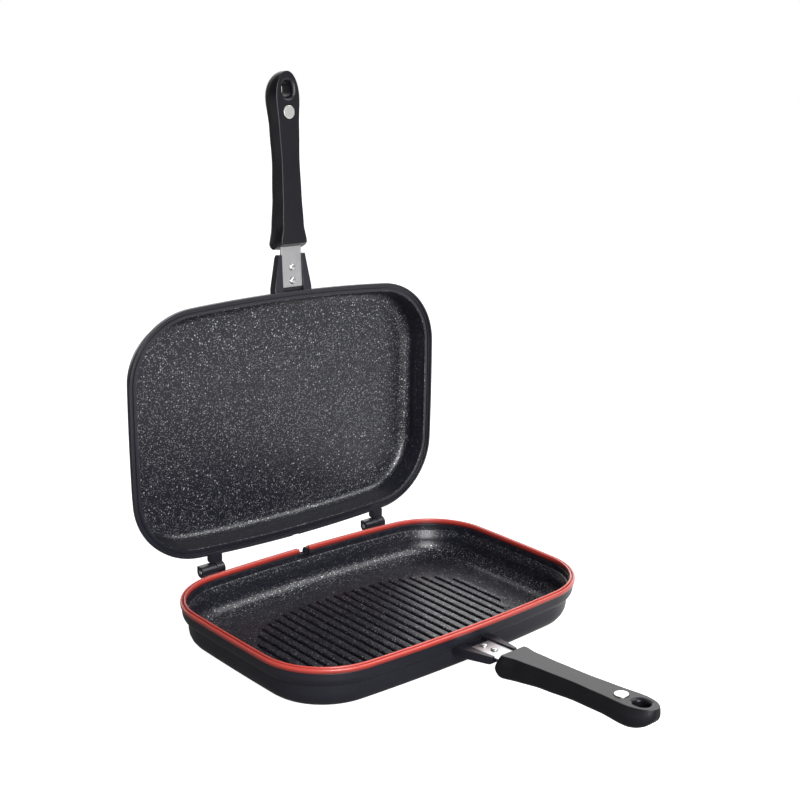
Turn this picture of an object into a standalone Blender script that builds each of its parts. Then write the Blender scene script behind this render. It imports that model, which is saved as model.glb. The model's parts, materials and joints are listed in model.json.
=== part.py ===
"""Double grill pan: a ribbed lower half and a shallow upper half on two rear hinges, shown open.

X runs along the hinge line, Y from the handles (front, negative) to the hinges (rear), Z up.
The origin is the middle of the flat underside of the lower half. All lengths are in metres.
"""
import math

import bmesh
import bpy
from mathutils import Matrix, Vector

OBJECT_NAME = "granite_coated_double_pan"

# Driving sizes of the whole pan
PAN_LENGTH = 0.360              # along the hinge line, over the rims
PAN_WIDTH = 0.2455              # from the handle side to the hinge side, over the rims
CORNER_RADIUS = 0.0665
LONG_SIDE_BOW = 0.0038          # the long sides bulge outwards by this much
SHORT_SIDE_BOW = 0.0005
LOWER_HEIGHT = 0.042            # from the table to the top of the seal
LID_HEIGHT = 0.029              # of the closed upper half above the seal
OPEN_ANGLE = math.radians(90.9)

# Clearances
GAP = 0.0003                    # between pieces that touch
OVERRUN = 0.003                 # of a cutter past the face that it leaves by
MERGE_DISTANCE = 0.000003

# Lower half, outside
BASE_EDGE_RADIUS = 0.015
WALL_INSET = 0.0095             # of the wall, from the outline of the rim
WALL_DRAFT = 0.0005
COLLAR_INSET = 0.0036
COLLAR_BAND = 0.008             # height of the upright band of the collar
COLLAR_CURVE = 0.004            # height of the rounding below that band
RIM_EDGE = 0.0005               # chamfer along the edges of the rim

# Lower half, inside
FLOOR_THICKNESS = 0.0048
WALL_THICKNESS = 0.0033
INNER_RIM_INSET = 0.0079
INNER_RIM_BAND = 0.0058         # height of the smooth band below the seal
INNER_STEP = 0.0011             # width of the small step below that band
FILLET_RUN = 0.020              # inner fillet between wall and floor, on plan
FILLET_RISE = 0.018

# Grill ribs on the floor, running from front to back
RIB_PITCH = 0.01093
RIB_HEIGHT = 0.0025
GROOVE_FLOOR_WIDTH = 0.0020
GROOVE_TOP_WIDTH = 0.0036
RIB_ROUNDING = 0.0009
RIB_SINK = 0.001                # how far the ribs reach into the floor
RIB_MARGIN_END = 0.0535         # from the short ends of the pan to the field of ribs
RIB_MARGIN_SIDE = 0.04475       # from its long sides
RIB_FIELD_FORWARD = 0.0060      # the field lies this much nearer to the handle side
RIB_FIELD_POWER = 2.7           # of the rounded outline that the rib ends follow
RIB_END_RUN = 0.004             # the ends slope down over this length
RIB_END_SHARE = 0.25            # of the height, left at the very end

# Silicone seal in the rim of the lower half
SEAL_OUTER_INSET = 0.0024
SEAL_INNER_INSET = 0.0074
SEAL_HEIGHT = 0.0048
SEAL_BEAD_RADIUS = 0.0011
SEAL_FOOT_CURVE = 0.0008
TONGUE_WIDTH = 0.0014
TONGUE_DEPTH = 0.0022
TONGUE_INSET = 0.0057           # of the tongue's middle
SEAL_END_RIGHT = 0.0012         # where the strip starts, to the right of the rear middle
SEAL_END_LEFT = 0.0098          # where the strip stops, to the left of the rear middle
SEAL_END_SLANT = 0.0018

# Steam vent in the middle of the rear rim
VENT_OFFSET = 0.0022            # of the vent's middle, to the left
VENT_WIDTH = 0.0036
VENT_HEIGHT = 0.0084
VENT_WALL = 0.0011
VENT_TOP_DROP = 0.0004          # of the vent's boss below the top of the seal
LID_NOTCH_WIDTH = 0.0081
LID_NOTCH_DEPTH = 0.0018

# Upper half
LIP_DEPTH = 0.0022              # the outer lip hangs this far below the sealing face
LIP_WIDTH = 0.0019
SEALING_GROOVE_INSET = 0.0046
SEALING_GROOVE_WIDTH = 0.0010
SEALING_GROOVE_DEPTH = 0.0006
LID_BAND = 0.0042               # height of the upright band of the flange
LID_SHOULDER_RUN = 0.0052       # hollow rounding between the flange and the wall
LID_SHOULDER_RISE = 0.0045
LID_WALL_RUN = 0.0031           # the wall leans in by this much
LID_EDGE_RADIUS = 0.016
LID_INNER_INSET = 0.0086
LID_INNER_DEPTH = 0.0262
LID_INNER_TAPER = 0.0030
LID_INNER_FILLET = 0.0115
LID_INNER_EDGE = 0.0006

# Hinges on the rear side
HINGE_SPACING = 0.2008          # between the middles of the two hinges
HINGE_OFFSET = 0.0016           # of both hinges, to the left
HINGE_BEHIND_RIM = 0.0102       # of the axis, behind the outline of the rim
HINGE_BELOW_SEAL = 0.00416
KNUCKLE_RADIUS = 0.00535
HINGE_LENGTH = 0.0254
LID_KNUCKLE_LENGTH = 0.0088
LID_TAB_LENGTH = 0.0120
LUG_TOP_DROP = 0.0012           # of the lower lug's web, below the axis
LUG_FOOT_DROP = 0.0110
LUG_FOOT_ANGLE = math.radians(105)  # where the lug's underside meets its knuckle
STOP_CHAMFER = 0.0009
TAB_LIFT = 0.0003               # of the closed tab's underside, above the axis
TAB_REACH = 0.0062
TAB_BACK_SLOPE = 0.0015
WEB_RISE = 0.0015
WEB_FOOT_ANGLE = math.radians(60)   # where the tab's web meets the upper knuckle
HINGE_ROOT = 0.0020             # how far lugs, tabs and wings run into the wall
PIN_RADIUS = 0.0020
PIN_PROUD = 0.0003

# Handle line: the two handles rise towards their tips, side by side when closed
HANDLE_RISE = math.radians(3.62)
HANDLE_ROOT_OFFSET = 0.00325    # of the line's root, in front of the outline of the rim
HANDLE_MID_HEIGHT = 0.03515     # of the plane between the two handles, at the root
HANDLE_FACE_GAP = 0.0020        # between the flat faces of the closed handles
STRAP_DROP = 0.0063             # of the strap's face, below the handle's flat face

# Cast bracket that carries the strap, from its root in the wall outwards
BRACKET_REACH = 0.0315
BRACKET_ROOT = 0.016            # how far it runs back into the wall
BRACKET_ROOT_HALF_WIDTH = 0.0215
BRACKET_END_HALF_WIDTH = 0.0152
BRACKET_DEPTH = 0.0074
BRACKET_END_DEPTH = 0.0034
BRACKET_SLOPE_SHARE = 0.6       # of the extra depth at the root, left where the end rounding starts
BRACKET_WING_HEIGHT = 0.0015    # of the side wings, above the strap
BRACKET_END_ROUNDING = 0.0045
BRACKET_EDGE = 0.0008

# Steel strap
STRAP_WIDTH = 0.0230
STRAP_THICKNESS = 0.0020
STRAP_START = 0.0008
STRAP_SHOULDER = 0.0455         # here the strap narrows inside the handle
TANG_WIDTH = 0.0130
TANG_END = 0.0680

# Rivets
RIVET_HEAD_RADIUS = 0.0035
RIVET_HEAD_HEIGHT = 0.0016
RIVET_SHANK_RADIUS = 0.0020
RIVET_TAIL_RADIUS = 0.0032
RIVET_TAIL_HEIGHT = 0.0010
RIVET_SEAT_DEPTH = 0.0046       # of the tail's seat, below the strap's face
RIVET_PLACES = {"inner": 0.0067, "outer": 0.0193}

# Handle, measured outwards from the root of the handle line
GRIP_START = 0.0415
GRIP_RAKE = 0.0060              # the end face leans towards the pan by this much
GRIP_RAKE_DEPTH = 0.0125
GRIP_END_DEPTH = 0.0230
GRIP_END_ROUNDING = 0.0050      # of the lower corner of the end face
GRIP_START_HALF_WIDTH = 0.0148
GRIP_NECK = 0.0590
GRIP_NECK_HALF_WIDTH = 0.0111
GRIP_MIDDLE = 0.0860
GRIP_MIDDLE_HALF_WIDTH = 0.0097
GRIP_MIDDLE_DEPTH = 0.0192
GRIP_WAIST = 0.1170
GRIP_WAIST_HALF_WIDTH = 0.0092
GRIP_WAIST_DEPTH = 0.0180
GRIP_SWELL = 0.1450
GRIP_SWELL_HALF_WIDTH = 0.0106
GRIP_SWELL_DEPTH = 0.0180
GRIP_HEAD = 0.1730
GRIP_HEAD_HALF_WIDTH = 0.0130
GRIP_HEAD_DEPTH = 0.0195
GRIP_TIP = 0.1970
GRIP_FACE_EDGE = 0.0010         # rounding along the flat face
GRIP_TIP_EDGE = 0.0034          # the same rounding at the tip
GRIP_BULGE = 0.0004
FACE_EDGE_SHARE = 0.3           # of that rounding, cut off at its middle
FLANK_DEPTH_SHARE = 0.65        # of the depth, taken by the upright flanks
UNDERSIDE_SHARE = 0.62          # of the half width, taken by the rounding of the underside
RAKE_FADE_POWER = 2             # how fast the rake of the end face fades along the grip
TIP_DEPTH_SHARE = 0.25          # of the depth, left at the tip
TIP_EDGE_POWER = 4              # how late the rounding grows towards the tip

# Magnet and hanging slot in the head of the handle
MAGNET_PLACE = 0.1600
MAGNET_RADIUS = 0.0060
MAGNET_THICKNESS = 0.0034
MAGNET_PROUD = 0.0008
MAGNET_EDGE = 0.0003
SLOT_PLACE = 0.1802
SLOT_LENGTH = 0.0140
SLOT_WIDTH = 0.0110
SLOT_FLARE = 0.0030             # the slot widens by this much at each mouth
SLOT_FLARE_DEPTH = 0.0028

# Screw that holds the grip on the strap, from the back
SCREW_PLACE = 0.0560
SCREW_RADIUS = 0.0018
SCREW_TIP_COVER = 0.0015        # how far the tip stands past the strap's face
SCREW_HEAD_RADIUS = 0.0034
SCREW_HEAD_HEIGHT = 0.0024
SCREW_HEAD_EDGE = 0.0008
SCREW_SEAT_DEPTH = 0.0075       # of the head's seat, below the strap's face
SCREW_SLOT_WIDTH = 0.0009
SCREW_SLOT_DEPTH = 0.0008

# Counts of segments
LONG_SIDE_STEPS = 3
CORNER_STEPS = 8
SHORT_SIDE_STEPS = 2
FILLET_STEPS = 4
SMALL_FILLET_STEPS = 3
PIN_STEPS = 16
DOME_STEPS = 3
KNUCKLE_STEP_ANGLE = math.radians(18)
BEAD_STEPS = 2
UNDERSIDE_STEPS = 5
GRIP_STRETCH_STEPS = 3
TIP_STEPS = 6
SLOT_END_STEPS = 6
SMOOTH_ANGLE = math.radians(32)

# Places worked out from the sizes above
HALF_LENGTH = PAN_LENGTH / 2
HALF_WIDTH = PAN_WIDTH / 2
RIB_FIELD_HALF_LENGTH = HALF_LENGTH - RIB_MARGIN_END
RIB_FIELD_HALF_WIDTH = HALF_WIDTH - RIB_MARGIN_SIDE
RIBS_EACH_SIDE = math.floor((RIB_FIELD_HALF_LENGTH - RIB_PITCH / 2) / RIB_PITCH)
HANDLE_ROOT = HALF_WIDTH + HANDLE_ROOT_OFFSET
RIM_TOP = LOWER_HEIGHT - SEAL_HEIGHT - GAP
SEALING_FACE = LOWER_HEIGHT + GAP
LIP_BOTTOM = SEALING_FACE - LIP_DEPTH
CLOSED_HEIGHT = LOWER_HEIGHT + LID_HEIGHT
HINGE_Y = HALF_WIDTH + HINGE_BEHIND_RIM
HINGE_Z = LOWER_HEIGHT - HINGE_BELOW_SEAL
HINGE_INNER_X = HINGE_SPACING / 2 - HINGE_OFFSET - HINGE_LENGTH / 2
HINGE_OUTER_X = HINGE_SPACING / 2 + HINGE_OFFSET + HINGE_LENGTH / 2
GRIP_FACE = STRAP_DROP
STRAP_FACE_BELOW_MID = HANDLE_FACE_GAP / 2 + STRAP_DROP * math.cos(HANDLE_RISE)


# Plan outline of the pan

def corner_frame():
    """Centre, half axes and end angles of the corner arc in the quarter with +X and +Y."""
    centre_x = HALF_LENGTH - CORNER_RADIUS - SHORT_SIDE_BOW
    centre_y = HALF_WIDTH - CORNER_RADIUS - LONG_SIDE_BOW
    low = math.atan2(2 * SHORT_SIDE_BOW, centre_y)
    high = math.pi / 2 - math.atan2(2 * LONG_SIDE_BOW, centre_x)
    axis_x = CORNER_RADIUS / (math.cos(low) - math.cos(high))
    axis_y = CORNER_RADIUS / (math.sin(high) - math.sin(low))
    return centre_x, centre_y, axis_x, axis_y, low, high


def rear_station(x):
    """Point and outward normal on the bowed rear side, at a distance x from its middle."""
    centre_x = corner_frame()[0]
    y = HALF_WIDTH - LONG_SIDE_BOW * (x / centre_x) ** 2
    normal = Vector((2 * LONG_SIDE_BOW * x / centre_x ** 2, 1)).normalized()
    return Vector((x, y)), normal


def corner_station(angle):
    """Point and outward normal on the corner arc."""
    centre_x, centre_y, axis_x, axis_y, low, high = corner_frame()
    x = centre_x + axis_x * (math.cos(angle) - math.cos(high))
    y = centre_y + axis_y * (math.sin(angle) - math.sin(low))
    normal = Vector((math.cos(angle) / axis_x, math.sin(angle) / axis_y)).normalized()
    return Vector((x, y)), normal


def end_station(y):
    """Point and outward normal on the bowed right end, at a distance y from its middle."""
    centre_y = corner_frame()[1]
    x = HALF_LENGTH - SHORT_SIDE_BOW * (y / centre_y) ** 2
    normal = Vector((1, 2 * SHORT_SIDE_BOW * y / centre_y ** 2)).normalized()
    return Vector((x, y)), normal


def quarter_stations():
    """Stations from the middle of the rear side, clockwise, to the middle of the right end."""
    centre_x, centre_y, _, _, low, high = corner_frame()
    rear = [rear_station(centre_x * i / LONG_SIDE_STEPS) for i in range(LONG_SIDE_STEPS)]
    arc = [corner_station(high + (low - high) * i / CORNER_STEPS) for i in range(CORNER_STEPS)]
    end = [end_station(centre_y * (1 - i / SHORT_SIDE_STEPS)) for i in range(SHORT_SIDE_STEPS + 1)]
    return rear + arc + end


def turned(stations, sign_x, sign_y):
    """The stations mirrored into another quarter."""
    flip = Vector((sign_x, sign_y))
    return [(point * flip, normal * flip) for point, normal in stations]


def outline_stations():
    """The closed outline as stations, clockwise from the middle of the rear side."""
    quarter = quarter_stations()
    back = quarter[::-1]
    right = quarter + turned(back, 1, -1)[1:]
    left = turned(quarter, -1, -1)[1:] + turned(back, -1, 1)[1:-1]
    return right + left


STATIONS = outline_stations()


def ring(inset, height):
    """The outline moved inwards by inset, at a height."""
    return [(*(point - normal * inset), height) for point, normal in STATIONS]


# Mesh and object helpers

def loft(mesh, rings, endless=False):
    """Skin a row of rings that have as many points as each other, and close its ends."""
    loops = [[mesh.verts.new(point) for point in points] for points in rings]
    pairs = list(zip(loops, loops[1:]))
    if endless:
        pairs.append((loops[-1], loops[0]))
    for first, second in pairs:
        for i in range(len(first)):
            mesh.faces.new((first[i - 1], first[i], second[i], second[i - 1]))
    if not endless:
        mesh.faces.new(loops[0])
        mesh.faces.new(loops[-1])
    bmesh.ops.recalc_face_normals(mesh, faces=mesh.faces)


def make_object(name, mesh, collection, material=None, parent=None, matrix=None):
    """Turn a bmesh into a named object, shaded smooth except at sharp edges."""
    data = bpy.data.meshes.new(name)
    mesh.to_mesh(data)
    mesh.free()
    data.shade_smooth()
    data.set_sharp_from_angle(angle=SMOOTH_ANGLE)
    made = bpy.data.objects.new(name, data)
    collection.objects.link(made)
    if material:
        data.materials.append(material)
    made.parent = parent
    made.matrix_local = matrix or Matrix()
    return made


def make_cutter(name, mesh, parent=None, matrix=None):
    """A hidden helper solid for a Boolean."""
    made = make_object(name, mesh, CUTTERS, parent=parent, matrix=matrix)
    made.hide_render = True
    made.display_type = "WIRE"
    return made


def combine(target, helper, operation):
    """Join a helper to the target, or cut it away."""
    modifier = target.modifiers.new(f"{operation.lower()}_{helper.name}", "BOOLEAN")
    modifier.operation = operation
    modifier.solver = "EXACT"
    modifier.object = helper


def add_cylinder(mesh, radius, low, high, matrix=None, top_radius=None):
    """A cylinder or cone along local Z between two heights."""
    place = Matrix.Translation((0, 0, (low + high) / 2))
    made = bmesh.ops.create_cone(
        mesh, cap_ends=True, segments=PIN_STEPS, radius1=radius,
        radius2=radius if top_radius is None else top_radius,
        depth=high - low, matrix=(matrix or Matrix()) @ place)
    return made["verts"]


def add_box(mesh, low, high):
    """A box between two corners."""
    low = Vector(low)
    high = Vector(high)
    size = high - low
    place = Matrix.Translation((low + high) / 2) @ Matrix.Diagonal((*size, 1))
    bmesh.ops.create_cube(mesh, size=1, matrix=place)


def arc_share(steps):
    """Sine and cosine pairs of a quarter turn, both ends included."""
    angles = [math.pi / 2 * i / steps for i in range(steps + 1)]
    return [(math.sin(angle), math.cos(angle)) for angle in angles]


def make_material(name, colour, roughness, metallic):
    """A plain Principled material."""
    material = bpy.data.materials.new(name)
    material.use_nodes = True
    shader = material.node_tree.nodes["Principled BSDF"]
    shader.inputs["Base Color"].default_value = (*colour, 1)
    shader.inputs["Roughness"].default_value = roughness
    shader.inputs["Metallic"].default_value = metallic
    return material


# Lower half

def lower_outer_profile():
    """Inset and height of the outside of the lower half, from the base to the inner rim."""
    collar_low = RIM_TOP - COLLAR_BAND - COLLAR_CURVE
    wall_top_inset = WALL_INSET - WALL_DRAFT
    collar_run = wall_top_inset - COLLAR_INSET
    base = [(WALL_INSET + BASE_EDGE_RADIUS * (1 - s), BASE_EDGE_RADIUS * (1 - c))
            for s, c in arc_share(FILLET_STEPS)]
    collar = [(wall_top_inset - collar_run * s, collar_low + COLLAR_CURVE * (1 - c))
              for s, c in arc_share(SMALL_FILLET_STEPS)]
    rim = [(COLLAR_INSET, RIM_TOP - RIM_EDGE), (COLLAR_INSET + RIM_EDGE, RIM_TOP)]
    return base + collar + rim


def tongue_slot_profile():
    """Inset and height of the slot in the rim that takes the tongue of the seal."""
    outer = TONGUE_INSET - TONGUE_WIDTH / 2 - GAP
    inner = TONGUE_INSET + TONGUE_WIDTH / 2 + GAP
    floor = RIM_TOP - TONGUE_DEPTH - GAP
    mouth = RIM_TOP + OVERRUN
    return [(outer, mouth), (outer, floor), (inner, floor), (inner, mouth)]


def lower_cavity_profile():
    """Inset and height of the inside of the lower half, from above the rim to the floor."""
    step_height = RIM_TOP - INNER_RIM_BAND
    wall_inset = WALL_INSET + WALL_THICKNESS
    fillet_top = FLOOR_THICKNESS + FILLET_RISE
    fillet = [(wall_inset + FILLET_RUN * (1 - c), fillet_top - FILLET_RISE * s)
              for s, c in arc_share(FILLET_STEPS)]
    return [(INNER_RIM_INSET, LOWER_HEIGHT + OVERRUN),
            (INNER_RIM_INSET, step_height),
            (INNER_RIM_INSET + INNER_STEP, step_height - RIM_EDGE)] + fillet


def rib_end(x):
    """How far a rib at x reaches towards the front and the rear."""
    share = 1 - (abs(x) / RIB_FIELD_HALF_LENGTH) ** RIB_FIELD_POWER
    return RIB_FIELD_HALF_WIDTH * share ** (1 / RIB_FIELD_POWER)


def rib_section(x, y, share):
    """Section of one rib: sloping flanks and rounded top edges, lowered by a share."""
    foot = (RIB_PITCH - GROOVE_FLOOR_WIDTH) / 2
    top = (RIB_PITCH - GROOVE_TOP_WIDTH) / 2
    low = FLOOR_THICKNESS - RIB_SINK
    edge = RIB_ROUNDING * share
    crest = FLOOR_THICKNESS + RIB_HEIGHT * share
    half = [(foot, low), (foot * share + top * (1 - share), FLOOR_THICKNESS),
            (top, crest - edge), (top - RIB_ROUNDING, crest)]
    right = [(x + across, y, height) for across, height in half]
    left = [(x - across, y, height) for across, height in half[::-1]]
    return right + left


def make_ribs():
    """The row of grill ribs, each one a loft with lowered ends."""
    mesh = bmesh.new()
    for index in range(-RIBS_EACH_SIDE, RIBS_EACH_SIDE + 1):
        x = index * RIB_PITCH
        end = rib_end(x)
        full = end - RIB_END_RUN
        places = [(-end, RIB_END_SHARE), (-full, 1), (full, 1), (end, RIB_END_SHARE)]
        loft(mesh, [rib_section(x, y - RIB_FIELD_FORWARD, share) for y, share in places])
    return make_cutter("rib_row", mesh)


def bracket_section(along, half_width, depth, wing):
    """Section of the cast bracket in the handle frame: a channel between two wings."""
    channel = STRAP_WIDTH / 2 + GAP
    floor = -STRAP_THICKNESS - GAP
    edge = BRACKET_EDGE
    half = [(channel, floor), (channel, wing), (half_width - edge, wing), (half_width, wing - edge),
            (half_width, -depth + edge), (half_width - edge, -depth)]
    right = [(across, along, height) for across, height in half]
    left = [(-across, along, height) for across, height in half[::-1]]
    return right + left


def bracket_places(wing_inset):
    """Distance, half width, depth and wing height of the bracket's sections.

    The wings start inside the wall, at an inset from the outline of the rim.
    """
    end_start = BRACKET_REACH - BRACKET_END_ROUNDING
    wing_start = -HANDLE_ROOT_OFFSET - wing_inset
    half_width = BRACKET_ROOT_HALF_WIDTH
    places = [(-BRACKET_ROOT, half_width, BRACKET_DEPTH, -STRAP_THICKNESS),
              (wing_start - BRACKET_EDGE, half_width, BRACKET_DEPTH, -STRAP_THICKNESS),
              (wing_start, half_width, BRACKET_DEPTH, BRACKET_WING_HEIGHT),
              (0, half_width, BRACKET_DEPTH, BRACKET_WING_HEIGHT)]
    taper = (BRACKET_ROOT_HALF_WIDTH - BRACKET_END_HALF_WIDTH) / BRACKET_REACH
    for s, c in arc_share(SMALL_FILLET_STEPS):
        along = end_start + BRACKET_END_ROUNDING * s
        depth = BRACKET_END_DEPTH + (BRACKET_DEPTH - BRACKET_END_DEPTH) * c * BRACKET_SLOPE_SHARE
        places.append((along, half_width - taper * along, depth, BRACKET_WING_HEIGHT))
    return places


def make_bracket(name, wing_inset, parent, matrix):
    """The cast bracket of one half, as a helper that is joined to its wall."""
    mesh = bmesh.new()
    loft(mesh, [bracket_section(*place) for place in bracket_places(wing_inset)])
    return make_cutter(name, mesh, parent, matrix)


def make_rivet_holes(name, parent, matrix):
    """The holes for the rivets through one bracket, with the seats of their tails."""
    mesh = bmesh.new()
    for place in RIVET_PLACES.values():
        move = Matrix.Translation((0, place, 0))
        seat = -RIVET_SEAT_DEPTH
        add_cylinder(mesh, RIVET_SHANK_RADIUS + GAP, seat - OVERRUN / 2, OVERRUN, move)
    shanks = make_cutter(f"{name}_shanks", mesh, parent, matrix)
    mesh = bmesh.new()
    for place in RIVET_PLACES.values():
        move = Matrix.Translation((0, place, 0))
        add_cylinder(mesh, RIVET_TAIL_RADIUS + GAP, -BRACKET_DEPTH - OVERRUN, -RIVET_SEAT_DEPTH, move)
    seats = make_cutter(f"{name}_seats", mesh, parent, matrix)
    return shanks, seats


def extrude_side(mesh, section, start, end):
    """Extrude a section of (y, z) points along X."""
    loft(mesh, [[(x, y, z) for y, z in section] for x in (start, end)])


def knuckle_arc(start, end):
    """Points of the knuckle's outside between two angles, seen along X from +Y."""
    steps = max(1, round(abs(end - start) / KNUCKLE_STEP_ANGLE))
    angles = [start + (end - start) * i / steps for i in range(steps + 1)]
    return [(KNUCKLE_RADIUS * math.cos(angle), KNUCKLE_RADIUS * math.sin(angle)) for angle in angles]


def from_axis(points, origin):
    """Points given from the hinge axis, moved to where the axis is."""
    return [(y + origin[0], z + origin[1]) for y, z in points]


def rim_behind(x, inset):
    """Place of the rear rim at x, moved inwards by inset and taken from the hinge axis."""
    return rear_station(x)[0].y - inset - HINGE_Y


def lower_lug_section():
    """Lower lug: a web from the collar, the knuckle and the square corner of the stop."""
    root = rim_behind(HINGE_OUTER_X, COLLAR_INSET) - HINGE_ROOT
    front = math.pi + math.asin(LUG_TOP_DROP / KNUCKLE_RADIUS)
    corner = [(KNUCKLE_RADIUS, KNUCKLE_RADIUS - STOP_CHAMFER),
              (KNUCKLE_RADIUS - STOP_CHAMFER, KNUCKLE_RADIUS)]
    points = [(root, -LUG_TOP_DROP), (root, -LUG_FOOT_DROP)]
    points += knuckle_arc(-LUG_FOOT_ANGLE, 0)
    points += corner
    points += knuckle_arc(math.pi / 2, front)
    return points


def hinge_starts():
    """The left ends of the two hinges."""
    middles = (-HINGE_SPACING / 2, HINGE_SPACING / 2)
    return [middle - HINGE_OFFSET - HINGE_LENGTH / 2 for middle in middles]


def make_lower_lugs():
    """Both lower lugs, as a helper that is joined to the lower half."""
    mesh = bmesh.new()
    section = from_axis(lower_lug_section(), (HINGE_Y, HINGE_Z))
    length = HINGE_LENGTH - LID_KNUCKLE_LENGTH - GAP / 2
    for start in hinge_starts():
        extrude_side(mesh, section, start, start + length)
    return make_cutter("lower_lugs", mesh)


def make_pin_holes(name, parent, origin):
    """Bores for both hinge pins, about an axis at (y, z)."""
    mesh = bmesh.new()
    for start in hinge_starts():
        turn = Matrix.Translation((0, *origin)) @ Matrix.Rotation(math.pi / 2, 4, "Y")
        add_cylinder(mesh, PIN_RADIUS + GAP, start - OVERRUN, start + HINGE_LENGTH + OVERRUN, turn)
    return make_cutter(name, mesh, parent)


def oval_section(half_width, half_height, steps):
    """Upright oval in the XZ plane as (x, z) points, with round ends of half_width."""
    straight = half_height - half_width
    points = []
    for i in range(steps + 1):
        angle = math.pi * i / steps
        points.append((half_width * math.cos(angle), straight + half_width * math.sin(angle)))
    return points + [(-x, -z) for x, z in points]


def make_vent(name, grow, y_low, y_high):
    """An upright oval bar through the rear rim, where the steam vent is."""
    mesh = bmesh.new()
    top = LOWER_HEIGHT - VENT_TOP_DROP - VENT_WALL
    middle = top - VENT_HEIGHT / 2
    section = oval_section(VENT_WIDTH / 2 + grow, VENT_HEIGHT / 2 + grow, SLOT_END_STEPS)
    rings = [[(x - VENT_OFFSET, y, middle + z) for x, z in section] for y in (y_low, y_high)]
    loft(mesh, rings)
    return make_cutter(name, mesh)


def make_lower_pan(material):
    """Ribbed lower half: turned-out rim, bracket, hinge lugs, vent, hollow and ribs."""
    mesh = bmesh.new()
    loft(mesh, [ring(inset, height) for inset, height in lower_outer_profile()])
    pan = make_object("lower_pan", mesh, PARTS, material)
    mesh = bmesh.new()
    loft(mesh, [ring(inset, height) for inset, height in lower_cavity_profile()])
    cavity = make_cutter("lower_cavity", mesh)
    mesh = bmesh.new()
    loft(mesh, [ring(inset, height) for inset, height in tongue_slot_profile()], endless=True)
    tongue_slot = make_cutter("tongue_slot", mesh)
    rim_back = HALF_WIDTH - COLLAR_INSET
    rim_front = HALF_WIDTH - INNER_RIM_INSET
    bracket = make_bracket("lower_bracket", COLLAR_INSET + HINGE_ROOT, None, LOWER_FRAME)
    combine(pan, bracket, "UNION")
    combine(pan, make_lower_lugs(), "UNION")
    combine(pan, cavity, "DIFFERENCE")
    combine(pan, tongue_slot, "DIFFERENCE")
    combine(pan, make_vent("vent_boss", VENT_WALL, rim_front + RIM_EDGE, rim_back - RIM_EDGE), "UNION")
    combine(pan, make_vent("vent_bore", 0, rim_front - OVERRUN, rim_back + OVERRUN), "DIFFERENCE")
    for holes in make_rivet_holes("lower_rivet_holes", None, LOWER_FRAME):
        combine(pan, holes, "DIFFERENCE")
    combine(pan, make_pin_holes("lower_pin_holes", None, (HINGE_Y, HINGE_Z)), "DIFFERENCE")
    combine(pan, make_ribs(), "UNION")
    return pan


# Seal

def bead(centre_inset, base_height):
    """Half round top of one bead of the seal, from its outer to its inner side."""
    steps = BEAD_STEPS * 2
    angles = [math.pi - math.pi * i / steps for i in range(steps + 1)]
    points = []
    for angle in angles:
        inset = centre_inset + SEAL_BEAD_RADIUS * math.cos(angle)
        points.append((inset, base_height + SEAL_BEAD_RADIUS * math.sin(angle)))
    return points


def seal_section():
    """Inset and height of the seal: two beads with a groove between, and a tongue below."""
    low = RIM_TOP + GAP
    bead_base = LOWER_HEIGHT - SEAL_BEAD_RADIUS
    tongue_half = TONGUE_WIDTH / 2
    outer = bead(SEAL_OUTER_INSET + SEAL_BEAD_RADIUS, bead_base)
    inner = bead(SEAL_INNER_INSET - SEAL_BEAD_RADIUS, bead_base)
    foot = [(SEAL_INNER_INSET, low + SEAL_FOOT_CURVE),
            (SEAL_INNER_INSET - SEAL_FOOT_CURVE, low),
            (TONGUE_INSET + tongue_half, low),
            (TONGUE_INSET + tongue_half, RIM_TOP - TONGUE_DEPTH),
            (TONGUE_INSET - tongue_half, RIM_TOP - TONGUE_DEPTH),
            (TONGUE_INSET - tongue_half, low),
            (SEAL_OUTER_INSET + SEAL_FOOT_CURVE, low),
            (SEAL_OUTER_INSET, low + SEAL_FOOT_CURVE)]
    return outer + inner + foot


def make_seal(material):
    """The silicone strip, laid in the rim from one side of the vent round to the other."""
    section = seal_section()
    first = rear_station(SEAL_END_RIGHT)
    last = rear_station(-SEAL_END_LEFT)
    path = [first] + STATIONS[1:] + [last]
    low = RIM_TOP - TONGUE_DEPTH
    rings = []
    for index, (point, normal) in enumerate(path):
        slant = SEAL_END_SLANT if index == len(path) - 1 else 0
        row = []
        for inset, height in section:
            place = point - normal * inset
            lean = slant * (height - low) / (LOWER_HEIGHT - low)
            row.append((place.x - lean, place.y, height))
        rings.append(row)
    mesh = bmesh.new()
    loft(mesh, rings)
    return make_object("silicone_seal", mesh, PARTS, material)


# Upper half, modelled closed and carried by the hinge axis

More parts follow.
